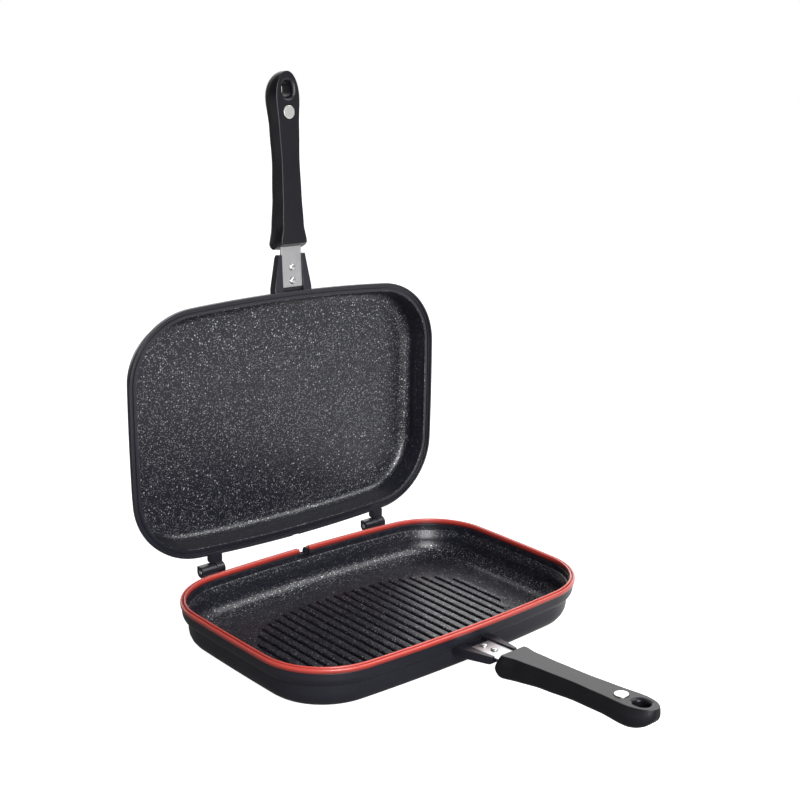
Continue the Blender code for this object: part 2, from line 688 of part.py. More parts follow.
def lid_outer_profile():
    """Inset and height of the upper half outside, from the top down to the sealing face."""
    band_top = LIP_BOTTOM + LID_BAND
    shoulder_top = band_top + LID_SHOULDER_RISE
    wall_inset = LID_SHOULDER_RUN + LID_WALL_RUN
    edge_low = CLOSED_HEIGHT - LID_EDGE_RADIUS
    top = [(wall_inset + LID_EDGE_RADIUS * (1 - s), edge_low + LID_EDGE_RADIUS * c)
           for s, c in arc_share(FILLET_STEPS)]
    shoulder = [(LID_SHOULDER_RUN * c, shoulder_top - LID_SHOULDER_RISE * s)
                for s, c in arc_share(SMALL_FILLET_STEPS)]
    lip = [(0, LIP_BOTTOM + RIM_EDGE), (RIM_EDGE, LIP_BOTTOM),
           (LIP_WIDTH - RIM_EDGE / 2, LIP_BOTTOM), (LIP_WIDTH, LIP_BOTTOM + RIM_EDGE / 2),
           (LIP_WIDTH, SEALING_FACE)]
    groove_start = SEALING_GROOVE_INSET - SEALING_GROOVE_WIDTH / 2
    groove_end = SEALING_GROOVE_INSET + SEALING_GROOVE_WIDTH / 2
    face = [(groove_start, SEALING_FACE),
            (groove_start, SEALING_FACE + SEALING_GROOVE_DEPTH),
            (groove_end, SEALING_FACE + SEALING_GROOVE_DEPTH),
            (groove_end, SEALING_FACE)]
    return top + shoulder + lip + face


def lid_cavity_profile():
    """Inset and height of the upper half inside, from below the rim up to the ceiling."""
    ceiling = SEALING_FACE + LID_INNER_DEPTH
    fillet_low = ceiling - LID_INNER_FILLET
    wall_inset = LID_INNER_INSET + LID_INNER_TAPER
    fillet = [(wall_inset + LID_INNER_FILLET * (1 - c), fillet_low + LID_INNER_FILLET * s)
              for s, c in arc_share(FILLET_STEPS)]
    return [(LID_INNER_INSET - LID_INNER_EDGE, LIP_BOTTOM - OVERRUN),
            (LID_INNER_INSET - LID_INNER_EDGE, SEALING_FACE),
            (LID_INNER_INSET, SEALING_FACE + LID_INNER_EDGE)] + fillet


def on_axis(points):
    """Points of the closed upper half, taken from the hinge axis."""
    return [(x, y - HINGE_Y, z - HINGE_Z) for x, y, z in points]


def lid_tab_section():
    """The tab beside and over the knuckles, which rests on the lower lug when open."""
    lip_inner = rim_behind(HINGE_INNER_X, LIP_WIDTH)
    root = rim_behind(HINGE_OUTER_X, LID_SHOULDER_RUN) - HINGE_ROOT
    face = SEALING_FACE - HINGE_Z
    stop = -(KNUCKLE_RADIUS + GAP)
    reach = TAB_LIFT + TAB_REACH
    return [(root, reach + TAB_BACK_SLOPE), (root, face + GAP), (lip_inner, face + GAP),
            (lip_inner, TAB_LIFT), (stop, TAB_LIFT), (stop, reach),
            (stop - TAB_BACK_SLOPE, reach + TAB_BACK_SLOPE)]


def lid_knuckle_section():
    """The knuckle of the upper half and the web that joins it to the tab."""
    stop = -(KNUCKLE_RADIUS + GAP)
    points = [(stop - GAP, TAB_LIFT + TAB_REACH), (stop - GAP, TAB_LIFT)]
    points += knuckle_arc(math.pi, 2 * math.pi)
    points += knuckle_arc(0, WEB_FOOT_ANGLE)[1:]
    points += [(stop / 2, KNUCKLE_RADIUS + WEB_RISE)]
    return points


def make_lid_hinges(parent):
    """Tabs and knuckles of both hinges, as helpers that are joined to the upper half."""
    tabs = bmesh.new()
    knuckles = bmesh.new()
    for start in hinge_starts():
        end = start + HINGE_LENGTH
        extrude_side(tabs, lid_tab_section(), end - LID_TAB_LENGTH, end)
        extrude_side(knuckles, lid_knuckle_section(), end - LID_KNUCKLE_LENGTH + GAP / 2, end)
    return (make_cutter("lid_tabs", tabs, parent),
            make_cutter("lid_knuckles", knuckles, parent))


def make_lid_notch(parent):
    """Notch in the lip, above the steam vent."""
    mesh = bmesh.new()
    half = LID_NOTCH_WIDTH / 2
    low = on_axis([(-half, HALF_WIDTH - LIP_WIDTH - OVERRUN / 2, LIP_BOTTOM - OVERRUN)])[0]
    high = on_axis([(half, HALF_WIDTH + OVERRUN, LIP_BOTTOM + LID_NOTCH_DEPTH)])[0]
    add_box(mesh, low, high)
    return make_cutter("lid_notch", mesh, parent)


def make_upper_pan(material, axis):
    """Shallow upper half: lipped rim, bracket, hinge tabs, notch and hollow."""
    mesh = bmesh.new()
    loft(mesh, [on_axis(ring(inset, height)) for inset, height in lid_outer_profile()])
    pan = make_object("upper_pan", mesh, PARTS, material, axis)
    mesh = bmesh.new()
    loft(mesh, [on_axis(ring(inset, height)) for inset, height in lid_cavity_profile()])
    cavity = make_cutter("upper_cavity", mesh, axis)
    combine(pan, make_bracket("upper_bracket", LIP_WIDTH / 2, axis, UPPER_FRAME), "UNION")
    for helper in make_lid_hinges(axis):
        combine(pan, helper, "UNION")
    combine(pan, cavity, "DIFFERENCE")
    for holes in make_rivet_holes("upper_rivet_holes", axis, UPPER_FRAME):
        combine(pan, holes, "DIFFERENCE")
    combine(pan, make_pin_holes("upper_pin_holes", axis, (0, 0)), "DIFFERENCE")
    combine(pan, make_lid_notch(axis), "DIFFERENCE")
    return pan


# Handle assembly, modelled in the handle frame: X across, Y outwards, Z towards the other half

def strap_outline(grow):
    """Plan outline of the strap and its narrower tang, moved outwards all round by grow."""
    half = STRAP_WIDTH / 2 + grow
    tang = TANG_WIDTH / 2 + grow
    corner = STRAP_THICKNESS / 2
    start = STRAP_START - grow
    shoulder = STRAP_SHOULDER + grow
    end = TANG_END + grow
    right = [(half - corner, start), (half, start + corner), (half, shoulder - corner),
             (half - corner, shoulder), (tang, shoulder), (tang, end - corner), (tang - corner, end)]
    return right + [(-x, y) for x, y in right[::-1]]


def add_strap_plate(mesh, grow):
    """The strap's plate, or the room that it needs when grow is a clearance."""
    heights = (-STRAP_THICKNESS - grow, grow)
    loft(mesh, [[(x, y, z) for x, y in strap_outline(grow)] for z in heights])


def make_strap(name, material, parent, matrix):
    """Flat steel strap with the rivet holes and the screw hole."""
    mesh = bmesh.new()
    add_strap_plate(mesh, 0)
    strap = make_object(name, mesh, PARTS, material, parent, matrix)
    holes = bmesh.new()
    for place in RIVET_PLACES.values():
        move = Matrix.Translation((0, place, 0))
        add_cylinder(holes, RIVET_SHANK_RADIUS + GAP, -STRAP_THICKNESS - OVERRUN, OVERRUN, move)
    move = Matrix.Translation((0, SCREW_PLACE, 0))
    add_cylinder(holes, SCREW_RADIUS + GAP, -STRAP_THICKNESS - OVERRUN, OVERRUN, move)
    combine(strap, make_cutter(f"{name}_holes", holes, parent, matrix), "DIFFERENCE")
    return strap


def turned_profile(mesh, profile, matrix):
    """Spin a profile of (radius, height) points that starts and ends on the axis."""
    verts = [mesh.verts.new(matrix @ Vector((radius, 0, height))) for radius, height in profile]
    edges = [mesh.edges.new(pair) for pair in zip(verts, verts[1:])]
    centre = matrix @ Vector()
    axis = matrix.to_3x3() @ Vector((0, 0, 1))
    bmesh.ops.spin(mesh, geom=verts + edges, cent=centre, axis=axis, steps=PIN_STEPS,
                   angle=2 * math.pi, use_merge=True)
    bmesh.ops.remove_doubles(mesh, verts=mesh.verts, dist=MERGE_DISTANCE)
    bmesh.ops.recalc_face_normals(mesh, faces=mesh.faces)


def make_rivet(name, place, material, parent, matrix):
    """Rivet: domed head on the strap, shank through strap and bracket, flat tail below."""
    head = [(RIVET_HEAD_RADIUS * s, GAP + RIVET_HEAD_HEIGHT * c) for s, c in arc_share(DOME_STEPS)]
    tail_top = -RIVET_SEAT_DEPTH - GAP
    profile = head + [(RIVET_SHANK_RADIUS, GAP), (RIVET_SHANK_RADIUS, tail_top),
                      (RIVET_TAIL_RADIUS, tail_top), (RIVET_TAIL_RADIUS, tail_top - RIVET_TAIL_HEIGHT),
                      (0, tail_top - RIVET_TAIL_HEIGHT)]
    mesh = bmesh.new()
    turned_profile(mesh, profile, Matrix())
    return make_object(name, mesh, PARTS, material, parent, matrix @ Matrix.Translation((0, place, 0)))


def smooth_between(table, along):
    """Value of a table of (place, value) pairs at a place, eased between the pairs."""
    for (start, first), (end, second) in zip(table, table[1:]):
        if along <= end:
            share = (along - start) / (end - start)
            eased = share * share * (3 - 2 * share)
            return first + (second - first) * eased
    return table[-1][1]


GRIP_HALF_WIDTHS = [
    (GRIP_START, GRIP_START_HALF_WIDTH), (GRIP_NECK, GRIP_NECK_HALF_WIDTH),
    (GRIP_MIDDLE, GRIP_MIDDLE_HALF_WIDTH), (GRIP_WAIST, GRIP_WAIST_HALF_WIDTH),
    (GRIP_SWELL, GRIP_SWELL_HALF_WIDTH), (GRIP_HEAD, GRIP_HEAD_HALF_WIDTH)]
GRIP_DEPTHS = [
    (GRIP_START, GRIP_END_DEPTH), (GRIP_MIDDLE, GRIP_MIDDLE_DEPTH),
    (GRIP_WAIST, GRIP_WAIST_DEPTH), (GRIP_SWELL, GRIP_SWELL_DEPTH), (GRIP_HEAD, GRIP_HEAD_DEPTH)]


def grip_section(along, half_width, depth, edge):
    """Section with a flat face, upright flanks and rounded lower corners; and the raked end."""
    flank = depth * FLANK_DEPTH_SHARE
    cut = edge * FACE_EDGE_SHARE
    half = [(half_width - edge, 0), (half_width - cut, -cut), (half_width, -edge),
            (half_width + GRIP_BULGE, -flank / 2)]
    for s, c in arc_share(UNDERSIDE_STEPS):
        across = half_width * (1 - UNDERSIDE_SHARE * (1 - c))
        half.append((across, -flank - (depth - flank) * s))
    fade = max(0, 1 - (along - GRIP_START) / (GRIP_MIDDLE - GRIP_START)) ** RAKE_FADE_POWER
    points = half + [(-across, height) for across, height in half[::-1]]
    placed = []
    for across, height in points:
        share = min(1, -height / GRIP_RAKE_DEPTH)
        placed.append((across, along - GRIP_RAKE * share * fade, GRIP_FACE + height))
    return placed


def grip_places():
    """Distance, half width, depth and edge rounding of the grip's sections."""
    neck_start = GRIP_START + GRIP_END_ROUNDING
    places = []
    for s, c in arc_share(SMALL_FILLET_STEPS)[:-1]:
        along = GRIP_START + GRIP_END_ROUNDING * (1 - c)
        half_width = smooth_between(GRIP_HALF_WIDTHS, along) - GRIP_FACE_EDGE * (1 - s)
        depth = GRIP_RAKE_DEPTH + (GRIP_END_DEPTH - GRIP_RAKE_DEPTH) * s
        places.append((along, half_width, depth, GRIP_FACE_EDGE))
    stretches = [(neck_start, GRIP_NECK), (GRIP_NECK, GRIP_WAIST),
                 (GRIP_WAIST, GRIP_SWELL), (GRIP_SWELL, GRIP_HEAD)]
    stops = [start + (end - start) * i / GRIP_STRETCH_STEPS
             for start, end in stretches for i in range(GRIP_STRETCH_STEPS)]
    for along in stops + [GRIP_HEAD]:
        half_width = smooth_between(GRIP_HALF_WIDTHS, along)
        places.append((along, half_width, smooth_between(GRIP_DEPTHS, along), GRIP_FACE_EDGE))
    tip_run = GRIP_TIP - GRIP_HEAD
    for s, c in arc_share(TIP_STEPS)[1:-1]:
        edge = GRIP_FACE_EDGE + (GRIP_TIP_EDGE - GRIP_FACE_EDGE) * s ** TIP_EDGE_POWER
        depth = GRIP_HEAD_DEPTH * (TIP_DEPTH_SHARE + (1 - TIP_DEPTH_SHARE) * c)
        places.append((GRIP_HEAD + tip_run * s, GRIP_HEAD_HALF_WIDTH * c, depth, edge * c))
    return places


def add_slot(mesh, half_width, half_length, places):
    """A slot with round ends, given as (height, growth) sections."""
    rings = []
    for height, growth in places:
        section = oval_section(half_width + growth, half_length + growth, SLOT_END_STEPS)
        rings.append([(x, SLOT_PLACE + y, height) for x, y in section])
    loft(mesh, rings)


def make_grip_cuts(name, parent, matrix):
    """Everything that is cut out of a grip: hanging slot, magnet seat, strap slot, screw hole."""
    slot = bmesh.new()
    back = GRIP_FACE - GRIP_HEAD_DEPTH
    face = GRIP_FACE
    places = [(back - OVERRUN, SLOT_FLARE * 2), (back + SLOT_FLARE_DEPTH, 0),
              (face - SLOT_FLARE_DEPTH, 0), (face, SLOT_FLARE), (face + OVERRUN, SLOT_FLARE)]
    add_slot(slot, SLOT_WIDTH / 2, SLOT_LENGTH / 2, places)
    seat = bmesh.new()
    floor = face + MAGNET_PROUD - MAGNET_THICKNESS - GAP
    add_cylinder(seat, MAGNET_RADIUS + GAP, floor, face + OVERRUN, Matrix.Translation((0, MAGNET_PLACE, 0)))
    strap = bmesh.new()
    add_strap_plate(strap, GAP)
    screw = bmesh.new()
    move = Matrix.Translation((0, SCREW_PLACE, 0))
    seat_height = -SCREW_SEAT_DEPTH
    add_cylinder(screw, SCREW_RADIUS + GAP, seat_height - OVERRUN / 2, SCREW_TIP_COVER + GAP, move)
    head = bmesh.new()
    add_cylinder(head, SCREW_HEAD_RADIUS + GAP, GRIP_FACE - GRIP_END_DEPTH - OVERRUN, seat_height, move)
    meshes = {"slot": slot, "magnet_seat": seat, "strap_slot": strap,
              "screw_hole": screw, "head_hole": head}
    return [make_cutter(f"{name}_{key}", mesh, parent, matrix) for key, mesh in meshes.items()]


def make_grip(name, material, parent, matrix):
    """Moulded handle: a lofted body with its slot, magnet seat, strap slot and screw hole."""
    mesh = bmesh.new()
    loft(mesh, [grip_section(*place) for place in grip_places()])
    grip = make_object(name, mesh, PARTS, material, parent, matrix)
    for cut in make_grip_cuts(name, parent, matrix):
        combine(grip, cut, "DIFFERENCE")
    return grip


def make_magnet(name, material, parent, matrix):
    """Disc magnet that stands a little proud of the handle's flat face."""
    top = GRIP_FACE + MAGNET_PROUD
    low = top - MAGNET_THICKNESS
    profile = [(0, top), (MAGNET_RADIUS - MAGNET_EDGE, top), (MAGNET_RADIUS, top - MAGNET_EDGE),
               (MAGNET_RADIUS, low), (0, low)]
    mesh = bmesh.new()
    turned_profile(mesh, profile, Matrix())
    return make_object(name, mesh, PARTS, material, parent, matrix @ Matrix.Translation((0, MAGNET_PLACE, 0)))


def make_screw(name, material, parent, matrix):
    """Screw with a slotted pan head, driven in from the back of the handle."""
    seat = -SCREW_SEAT_DEPTH - GAP
    bottom = seat - SCREW_HEAD_HEIGHT
    edge = SCREW_HEAD_EDGE
    profile = [(0, SCREW_TIP_COVER), (SCREW_RADIUS, SCREW_TIP_COVER), (SCREW_RADIUS, seat),
               (SCREW_HEAD_RADIUS, seat), (SCREW_HEAD_RADIUS, bottom + edge),
               (SCREW_HEAD_RADIUS - edge, bottom), (0, bottom)]
    mesh = bmesh.new()
    turned_profile(mesh, profile, Matrix())
    place = matrix @ Matrix.Translation((0, SCREW_PLACE, 0))
    screw = make_object(name, mesh, PARTS, material, parent, place)
    drive = bmesh.new()
    half = SCREW_SLOT_WIDTH / 2
    reach = SCREW_HEAD_RADIUS + OVERRUN
    add_box(drive, (-half, -reach, bottom - OVERRUN), (half, reach, bottom + SCREW_SLOT_DEPTH))
    combine(screw, make_cutter(f"{name}_drive", drive, parent, place), "DIFFERENCE")
    return screw


def make_pin(name, start, material):
    """Hinge pin, a little proud at both ends."""
    mesh = bmesh.new()
    edge = PIN_PROUD
    length = HINGE_LENGTH + 2 * PIN_PROUD
    profile = [(0, 0), (PIN_RADIUS - edge, 0), (PIN_RADIUS, edge), (PIN_RADIUS, length - edge),
               (PIN_RADIUS - edge, length), (0, length)]
    turned_profile(mesh, profile, Matrix())
    place = Matrix.Translation((start - PIN_PROUD, HINGE_Y, HINGE_Z)) @ Matrix.Rotation(math.pi / 2, 4, "Y")
    return make_object(name, mesh, PARTS, material, None, place)


def handle_frame(side):
    """Frame of a handle line; side is -1 below the plane between the handles, 1 above it."""
    outwards = Vector((0, -math.cos(HANDLE_RISE), math.sin(HANDLE_RISE)))
    facing = Vector((0, math.sin(HANDLE_RISE), math.cos(HANDLE_RISE))) * -side
    across = outwards.cross(facing)
    frame = Matrix((across, outwards, facing)).transposed().to_4x4()
    frame.translation = (0, -HANDLE_ROOT, HANDLE_MID_HEIGHT + side * STRAP_FACE_BELOW_MID)
    return frame


def make_handle_side(side, materials, parent, matrix):
    """Strap, rivets, grip, magnet and screw of one half."""
    make_strap(f"{side}_strap", materials["steel"], parent, matrix)
    for key, place in RIVET_PLACES.items():
        make_rivet(f"{side}_rivet_{key}", place, materials["steel"], parent, matrix)
    make_grip(f"{side}_handle", materials["bakelite"], parent, matrix)
    make_magnet(f"{side}_magnet", materials["magnet"], parent, matrix)
    make_screw(f"{side}_handle_screw", materials["steel"], parent, matrix)


def make_materials():
    """Colours of the pan as photographed."""
    return {
        "coating": make_material("granite_coating", (0.018, 0.018, 0.022), 0.45, 0.0),
        "silicone": make_material("red_silicone", (0.62, 0.05, 0.03), 0.55, 0.0),
        "steel": make_material("satin_steel", (0.62, 0.62, 0.62), 0.32, 1.0),
        "bakelite": make_material("black_bakelite", (0.02, 0.02, 0.022), 0.42, 0.0),
        "magnet": make_material("nickel_magnet", (0.80, 0.80, 0.80), 0.25, 1.0)}


# Build

for old in list(bpy.data.objects):
    bpy.data.objects.remove(old, do_unlink=True)

PARTS = bpy.data.collections.new(OBJECT_NAME)
CUTTERS = bpy.data.collections.new("cutters")
bpy.context.scene.collection.children.link(PARTS)
bpy.context.scene.collection.children.link(CUTTERS)

AXIS_PLACE = Matrix.Translation((0, HINGE_Y, HINGE_Z))
LOWER_FRAME = handle_frame(-1)
UPPER_FRAME = AXIS_PLACE.inverted() @ handle_frame(1)

LID_AXIS = bpy.data.objects.new("lid_hinge_axis", None)
PARTS.objects.link(LID_AXIS)
LID_AXIS.location = AXIS_PLACE.translation
LID_AXIS.rotation_euler = (-OPEN_ANGLE, 0, 0)

MATERIALS = make_materials()
make_lower_pan(MATERIALS["coating"])
make_seal(MATERIALS["silicone"])
make_upper_pan(MATERIALS["coating"], LID_AXIS)
make_handle_side("lower", MATERIALS, None, LOWER_FRAME)
make_handle_side("upper", MATERIALS, LID_AXIS, UPPER_FRAME)
for side, start in zip(("left", "right"), hinge_starts()):
    make_pin(f"hinge_pin_{side}", start, MATERIALS["steel"])
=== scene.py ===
# %% [markdown]
# # A hinged double grill pan
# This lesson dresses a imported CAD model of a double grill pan: a ribbed lower half with a red silicone seal, a
# shallow upper half that stands open on two hinges, and a long handle on each half. The CAD model carries the
# motion. The lesson models finer castings, seal, handles and fittings over it, gives each of them a finish built
# from nodes, and lights the pan in front of a white backdrop.

# %% Load the frame
import json
import math

import bmesh
import bpy
from mathutils import Matrix, Vector


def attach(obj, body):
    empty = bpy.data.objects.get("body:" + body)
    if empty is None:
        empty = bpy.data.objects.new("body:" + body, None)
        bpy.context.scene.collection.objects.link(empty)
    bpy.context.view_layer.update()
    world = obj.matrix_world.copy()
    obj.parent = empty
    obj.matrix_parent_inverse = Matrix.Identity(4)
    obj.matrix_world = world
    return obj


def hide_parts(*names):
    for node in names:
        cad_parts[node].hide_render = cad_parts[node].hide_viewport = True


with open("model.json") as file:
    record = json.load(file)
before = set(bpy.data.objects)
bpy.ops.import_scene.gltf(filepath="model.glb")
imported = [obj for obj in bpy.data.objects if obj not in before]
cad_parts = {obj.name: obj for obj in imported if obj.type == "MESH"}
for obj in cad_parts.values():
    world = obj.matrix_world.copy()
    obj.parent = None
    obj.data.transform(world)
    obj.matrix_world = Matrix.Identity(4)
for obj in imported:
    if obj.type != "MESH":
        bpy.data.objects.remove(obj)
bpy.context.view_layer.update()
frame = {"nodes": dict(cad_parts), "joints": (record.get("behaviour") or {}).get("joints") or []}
lid_hinge = frame["joints"][0]
hinge_axis = Vector(lid_hinge["pos_m"])
open_angle = math.radians(lid_hinge["range_deg"][1])
print("CAD nodes:", len(frame["nodes"]), "lid opens by", round(lid_hinge["range_deg"][1], 1), "degrees")

# %% [markdown]
# ## Camera
# The photograph looks at the pan from the front left and a little above it. A camera is a lens, a place and a
# direction, so those three are given directly: the eye in metres, an azimuth and an elevation for the line of
# sight, and a small roll. The shift slides the picture in its plane, as a view camera does.

# %% Camera
EYE = (-0.7610, -0.8664, 0.5412)
VIEW_AZIMUTH = math.radians(-43.86)
VIEW_ELEVATION = math.radians(18.43)
VIEW_ROLL = math.radians(2.27)


def camera_turn(azimuth, elevation, roll):
    """Rotation of a camera that looks along the azimuth, down by the elevation, and leans by the roll."""
    level = Matrix.Rotation(azimuth, 3, "Z") @ Matrix.Rotation(math.pi / 2 - elevation, 3, "X")
    return level @ Matrix.Rotation(roll, 3, "Z")


lens = bpy.data.cameras.new("view")
lens.sensor_width = 36
lens.lens = 60.42
lens.shift_x = -0.0555
lens.shift_y = 0.0849
lens.clip_start = 0.02
camera = bpy.data.objects.new("view", lens)
camera.matrix_world = Matrix.Translation(EYE) @ camera_turn(VIEW_AZIMUTH, VIEW_ELEVATION, VIEW_ROLL).to_4x4()
bpy.context.scene.collection.objects.link(camera)
bpy.context.scene.camera = camera
bpy.context.scene.view_settings.view_transform = "Standard"
print("camera at", EYE)

# %% [markdown]
# ## Sockets that read like numbers
# A finish is a graph of nodes, and wiring it by hand hides the idea behind it. This class wraps one output
# socket, so that adding, subtracting or multiplying two of them adds the Math node that does it. Every other
# node comes from the method called node, which sets the node's settings first and its sockets after them.


# %% Socket class
class Signal:
    """One output socket of a node tree, which can stand in a Python expression."""

    def __init__(self, tree, socket=None):
        self.tree = tree
        self.socket = socket

    def node(self, kind, settings=None, sockets=None, output=0):
        """Add a node, set it up, feed its sockets, and wrap one of its outputs."""
        made = self.tree.nodes.new(kind)
        for key, value in (settings or {}).items():
            setattr(made, key, value)
        for key, value in (sockets or {}).items():
            if isinstance(value, Signal):
                self.tree.links.new(value.socket, made.inputs[key])
            else:
                made.inputs[key].default_value = value
        return Signal(self.tree, made.outputs[output])

    def math(self, operation, first, second):
        """A Math node with two values, which may be signals or plain numbers."""
        return self.node("ShaderNodeMath", {"operation": operation}, {0: first, 1: second})

    def along(self, direction):
        """How far this vector points along a direction, as a dot product."""
        return self.node("ShaderNodeVectorMath", {"operation": "DOT_PRODUCT"}, {0: self, 1: direction}, "Value")

    def part(self, axis):
        """The X, Y or Z part of this vector."""
        return self.node("ShaderNodeSeparateXYZ", None, {"Vector": self}, axis)

    def __add__(self, other):
        return self.math("ADD", self, other)

    def __sub__(self, other):
        return self.math("SUBTRACT", self, other)

    def __rsub__(self, other):
        return self.math("SUBTRACT", other, self)

    def __mul__(self, other):
        return self.math("MULTIPLY", self, other)

    __radd__ = __add__
    __rmul__ = __mul__

    def between(self, low, high):
        """0 where the value is at low, 1 where it is at high, eased between them."""
        return self.node("ShaderNodeMapRange", {"interpolation_type": "SMOOTHSTEP"},
                         {"Value": self, "From Min": low, "From Max": high})

    def tint(self, dark, pale):
        """A colour that goes from dark to pale with the value."""
        return self.node("ShaderNodeMix", {"data_type": "RGBA"},
                         {"Factor": self, "A": (*dark, 1), "B": (*pale, 1)}, "Result")


# %% [markdown]
# ## Finishes
# Six finishes cover the pan. The inside has a granite-effect coating: nearly black, with thousands of pale
# metal flakes that are sprayed in, under a thin glaze. Painted shade thins the flakes on the steep walls, which
# stay dark. The outside has a plain sprayed coat with a fine tooth. The seal is pigmented silicone, with painted
# shade down its sides and in its valley. The straps are brushed steel, the handles are moulded phenolic, and the
# magnets are plated. Image textures could show all this, but noise and cells need no unwrapping and keep their
# size on every piece. Each finish reads Object coordinates, which are metres here, so a scale of 1000 means one
# cell in a millimetre. Each half has a granite material of its own, whose painted shade follows its open side.


# %% Helper for a finish
def new_finish(name):
    """A material with a Principled shader, and a Signal that starts from the object's own coordinates."""
    material = bpy.data.materials.new(name)
    material.use_nodes = True
    tree = material.node_tree
    place = Signal(tree).node("ShaderNodeTexCoord", output="Object")
    return material, tree.nodes["Principled BSDF"], place


def noise(place, scale, detail=3.0, roughness=0.55):
    """Soft noise from 0 to 1 with a given number of features in a metre."""
    return place.node("ShaderNodeTexNoise", None,
                      {"Vector": place, "Scale": scale, "Detail": detail, "Roughness": roughness})


def stretched(place, factors):
    """The place, scaled differently along each axis."""
    return place.node("ShaderNodeMapping", None, {"Vector": place, "Scale": factors})


def flecks(place, scale, share, size):
    """Flecks on random cells: share is how many cells have one, size how much of the cell it takes."""
    cell = {"Vector": place, "Scale": scale}
    distance = place.node("ShaderNodeTexVoronoi", None, cell, "Distance")
    colour = place.node("ShaderNodeTexVoronoi", None, cell, "Color")
    chance = colour.node("ShaderNodeSeparateColor", None, {"Color": colour}, "Red")
    strength = colour.node("ShaderNodeSeparateColor", None, {"Color": colour}, "Green")
    return distance.between(size, size * 0.55) * chance.between(1 - share, 1.001 - share) * (strength * 0.7 + 0.3)


def feed(shader, **links):
    """Link signals to the shader's sockets, with underscores for spaces."""
    for key, value in links.items():
        socket = shader.inputs[key.replace("_", " ").title().replace("Ior", "IOR")]
        if isinstance(value, Signal):
            value.tree.links.new(value.socket, socket)
        else:
            socket.default_value = value


def bump(height, distance, strength=1.0):
    """A bump from a height signal whose full range is a distance in metres."""
    return height.node("ShaderNodeBump", None, {"Height": height, "Distance": distance, "Strength": strength},
                       "Normal")


# %% Granite coating and outer coat
def granite_finish(name, axis):
    """The coating of one half, with painted shade: fewer flecks on walls that are steep to an axis."""
    material, shader, place = new_finish(name)
    small = flecks(place, 820, 0.46, 0.50)
    large = flecks(place, 400, 0.26, 0.30)
    cloud = noise(place, 60)
    grain = noise(place, 1700, 2)
    # Painted shade: the flecks fade on walls that stand steep to the axis, so those walls stay dark.
    level = place.node("ShaderNodeTexCoord", output="Normal").along(axis)
    flecks_and_painted_shade = (small * 0.34 + large * 0.88) * (level.between(0.20, 0.70) * 0.85 + 0.15)
    body = cloud.tint((0.004, 0.004, 0.008), (0.009, 0.009, 0.014))
    flake = (0.72, 0.73, 0.76, 1)
    colour = body.node("ShaderNodeMix", {"data_type": "RGBA"}, {"Factor": flecks_and_painted_shade, "A": body, "B": flake}, "Result")
    feed(shader, base_color=colour, metallic=flecks_and_painted_shade.between(0.0, 0.35) * 0.95,
         roughness=grain * 0.12 + 0.26 + flecks_and_painted_shade * 0.24, specular_ior_level=0.25,
         coat_weight=grain.between(0.38, 0.66) * 0.55, coat_roughness=0.20,
         normal=bump(grain + flecks_and_painted_shade * 0.5, 0.00014))
    return material


def coat_finish():
    """The plain coat of the outside: dark, with a fine tooth and faint clouds."""
    material, shader, place = new_finish("outer_coat")
    tooth = noise(place, 2400, 2)
    cloud = noise(place, 35)
    colour = (cloud * 0.7 + tooth * 0.3).tint((0.006, 0.006, 0.010), (0.013, 0.013, 0.019))
    feed(shader, base_color=colour, roughness=tooth * 0.14 + 0.26, specular_ior_level=0.42,
         normal=bump(tooth, 0.00008))
    return material


lower_granite = granite_finish("granite_coating_lower", (0, 0, 1))
upper_granite = granite_finish("granite_coating_upper", (0, -1, 0))
outer_coat = coat_finish()
print("made", lower_granite.name, upper_granite.name, "and", outer_coat.name)


# %% Silicone, steel, phenolic and nickel
def silicone_finish():
    """Red silicone, with painted shade: darker down its sides and in its valley than on the tops of the beads."""
    material, shader, place = new_finish("red_silicone")
    cloud = noise(place, 70)
    skin = noise(place, 1500, 2)
    # Painted shade: the colour darkens below the bead tops, down the sides and into the valley, plus random tone.
    painted_shade_and_tone = place.part("Z").between(0.0378, 0.0412) * 0.8 + cloud * 0.15 + skin * 0.05
    colour = painted_shade_and_tone.tint((0.11, 0.006, 0.005), (0.47, 0.050, 0.036))
    feed(shader, base_color=colour, roughness=skin * 0.14 + 0.26, coat_weight=0.5, coat_roughness=0.30,
         normal=bump(skin, 0.00005))
    return material


def steel_finish():
    """Satin steel with fine lines, drawn out along the handle."""
    material, shader, place = new_finish("satin_steel")
    lines = noise(stretched(place, (1.0, 0.03, 0.03)), 3000, 4)
    cloud = noise(place, 90)
    colour = (lines * 0.5 + cloud * 0.5).tint((0.40, 0.40, 0.41), (0.74, 0.74, 0.75))
    feed(shader, base_color=colour, metallic=1.0, roughness=lines * 0.22 + 0.24,
         normal=bump(lines, 0.00003))
    return material


def phenolic_finish():
    """Black moulded phenolic with a satin skin."""
    material, shader, place = new_finish("black_phenolic")
    tooth = noise(place, 1300, 3)
    cloud = noise(place, 50)
    colour = (cloud * 0.6 + tooth * 0.4).tint((0.003, 0.003, 0.005), (0.008, 0.008, 0.010))
    feed(shader, base_color=colour, roughness=tooth * 0.16 + 0.28, specular_ior_level=0.28,
         normal=bump(tooth, 0.00006))
    return material


def nickel_finish():
    """Plated nickel with a few scuffs."""
    material, shader, place = new_finish("plated_nickel")
    cloud = noise(place, 300)
    scuffs = noise(stretched(place, (1.0, 0.2, 0.2)), 1600, 3)
    colour = (cloud * 0.5 + scuffs * 0.5).tint((0.70, 0.69, 0.67), (0.92, 0.91, 0.89))
    feed(shader, base_color=colour, metallic=1.0, roughness=scuffs * 0.15 + 0.30, normal=bump(scuffs, 0.00002))
    return material


silicone = silicone_finish()
steel = steel_finish()
phenolic = phenolic_finish()
nickel = nickel_finish()
print("made", ", ".join(material.name for material in (silicone, steel, phenolic, nickel)))

# %% [markdown]
# ## The plan of the pan
# Both halves follow one outline: a rounded rectangle whose long sides bow outwards by almost 4 mm. The walls
# are the same all round, so each wall is drawn once as a section and carried along the outline. A place on the
# outline is a matrix: its Y axis points straight out of the pan, its Z axis points up.

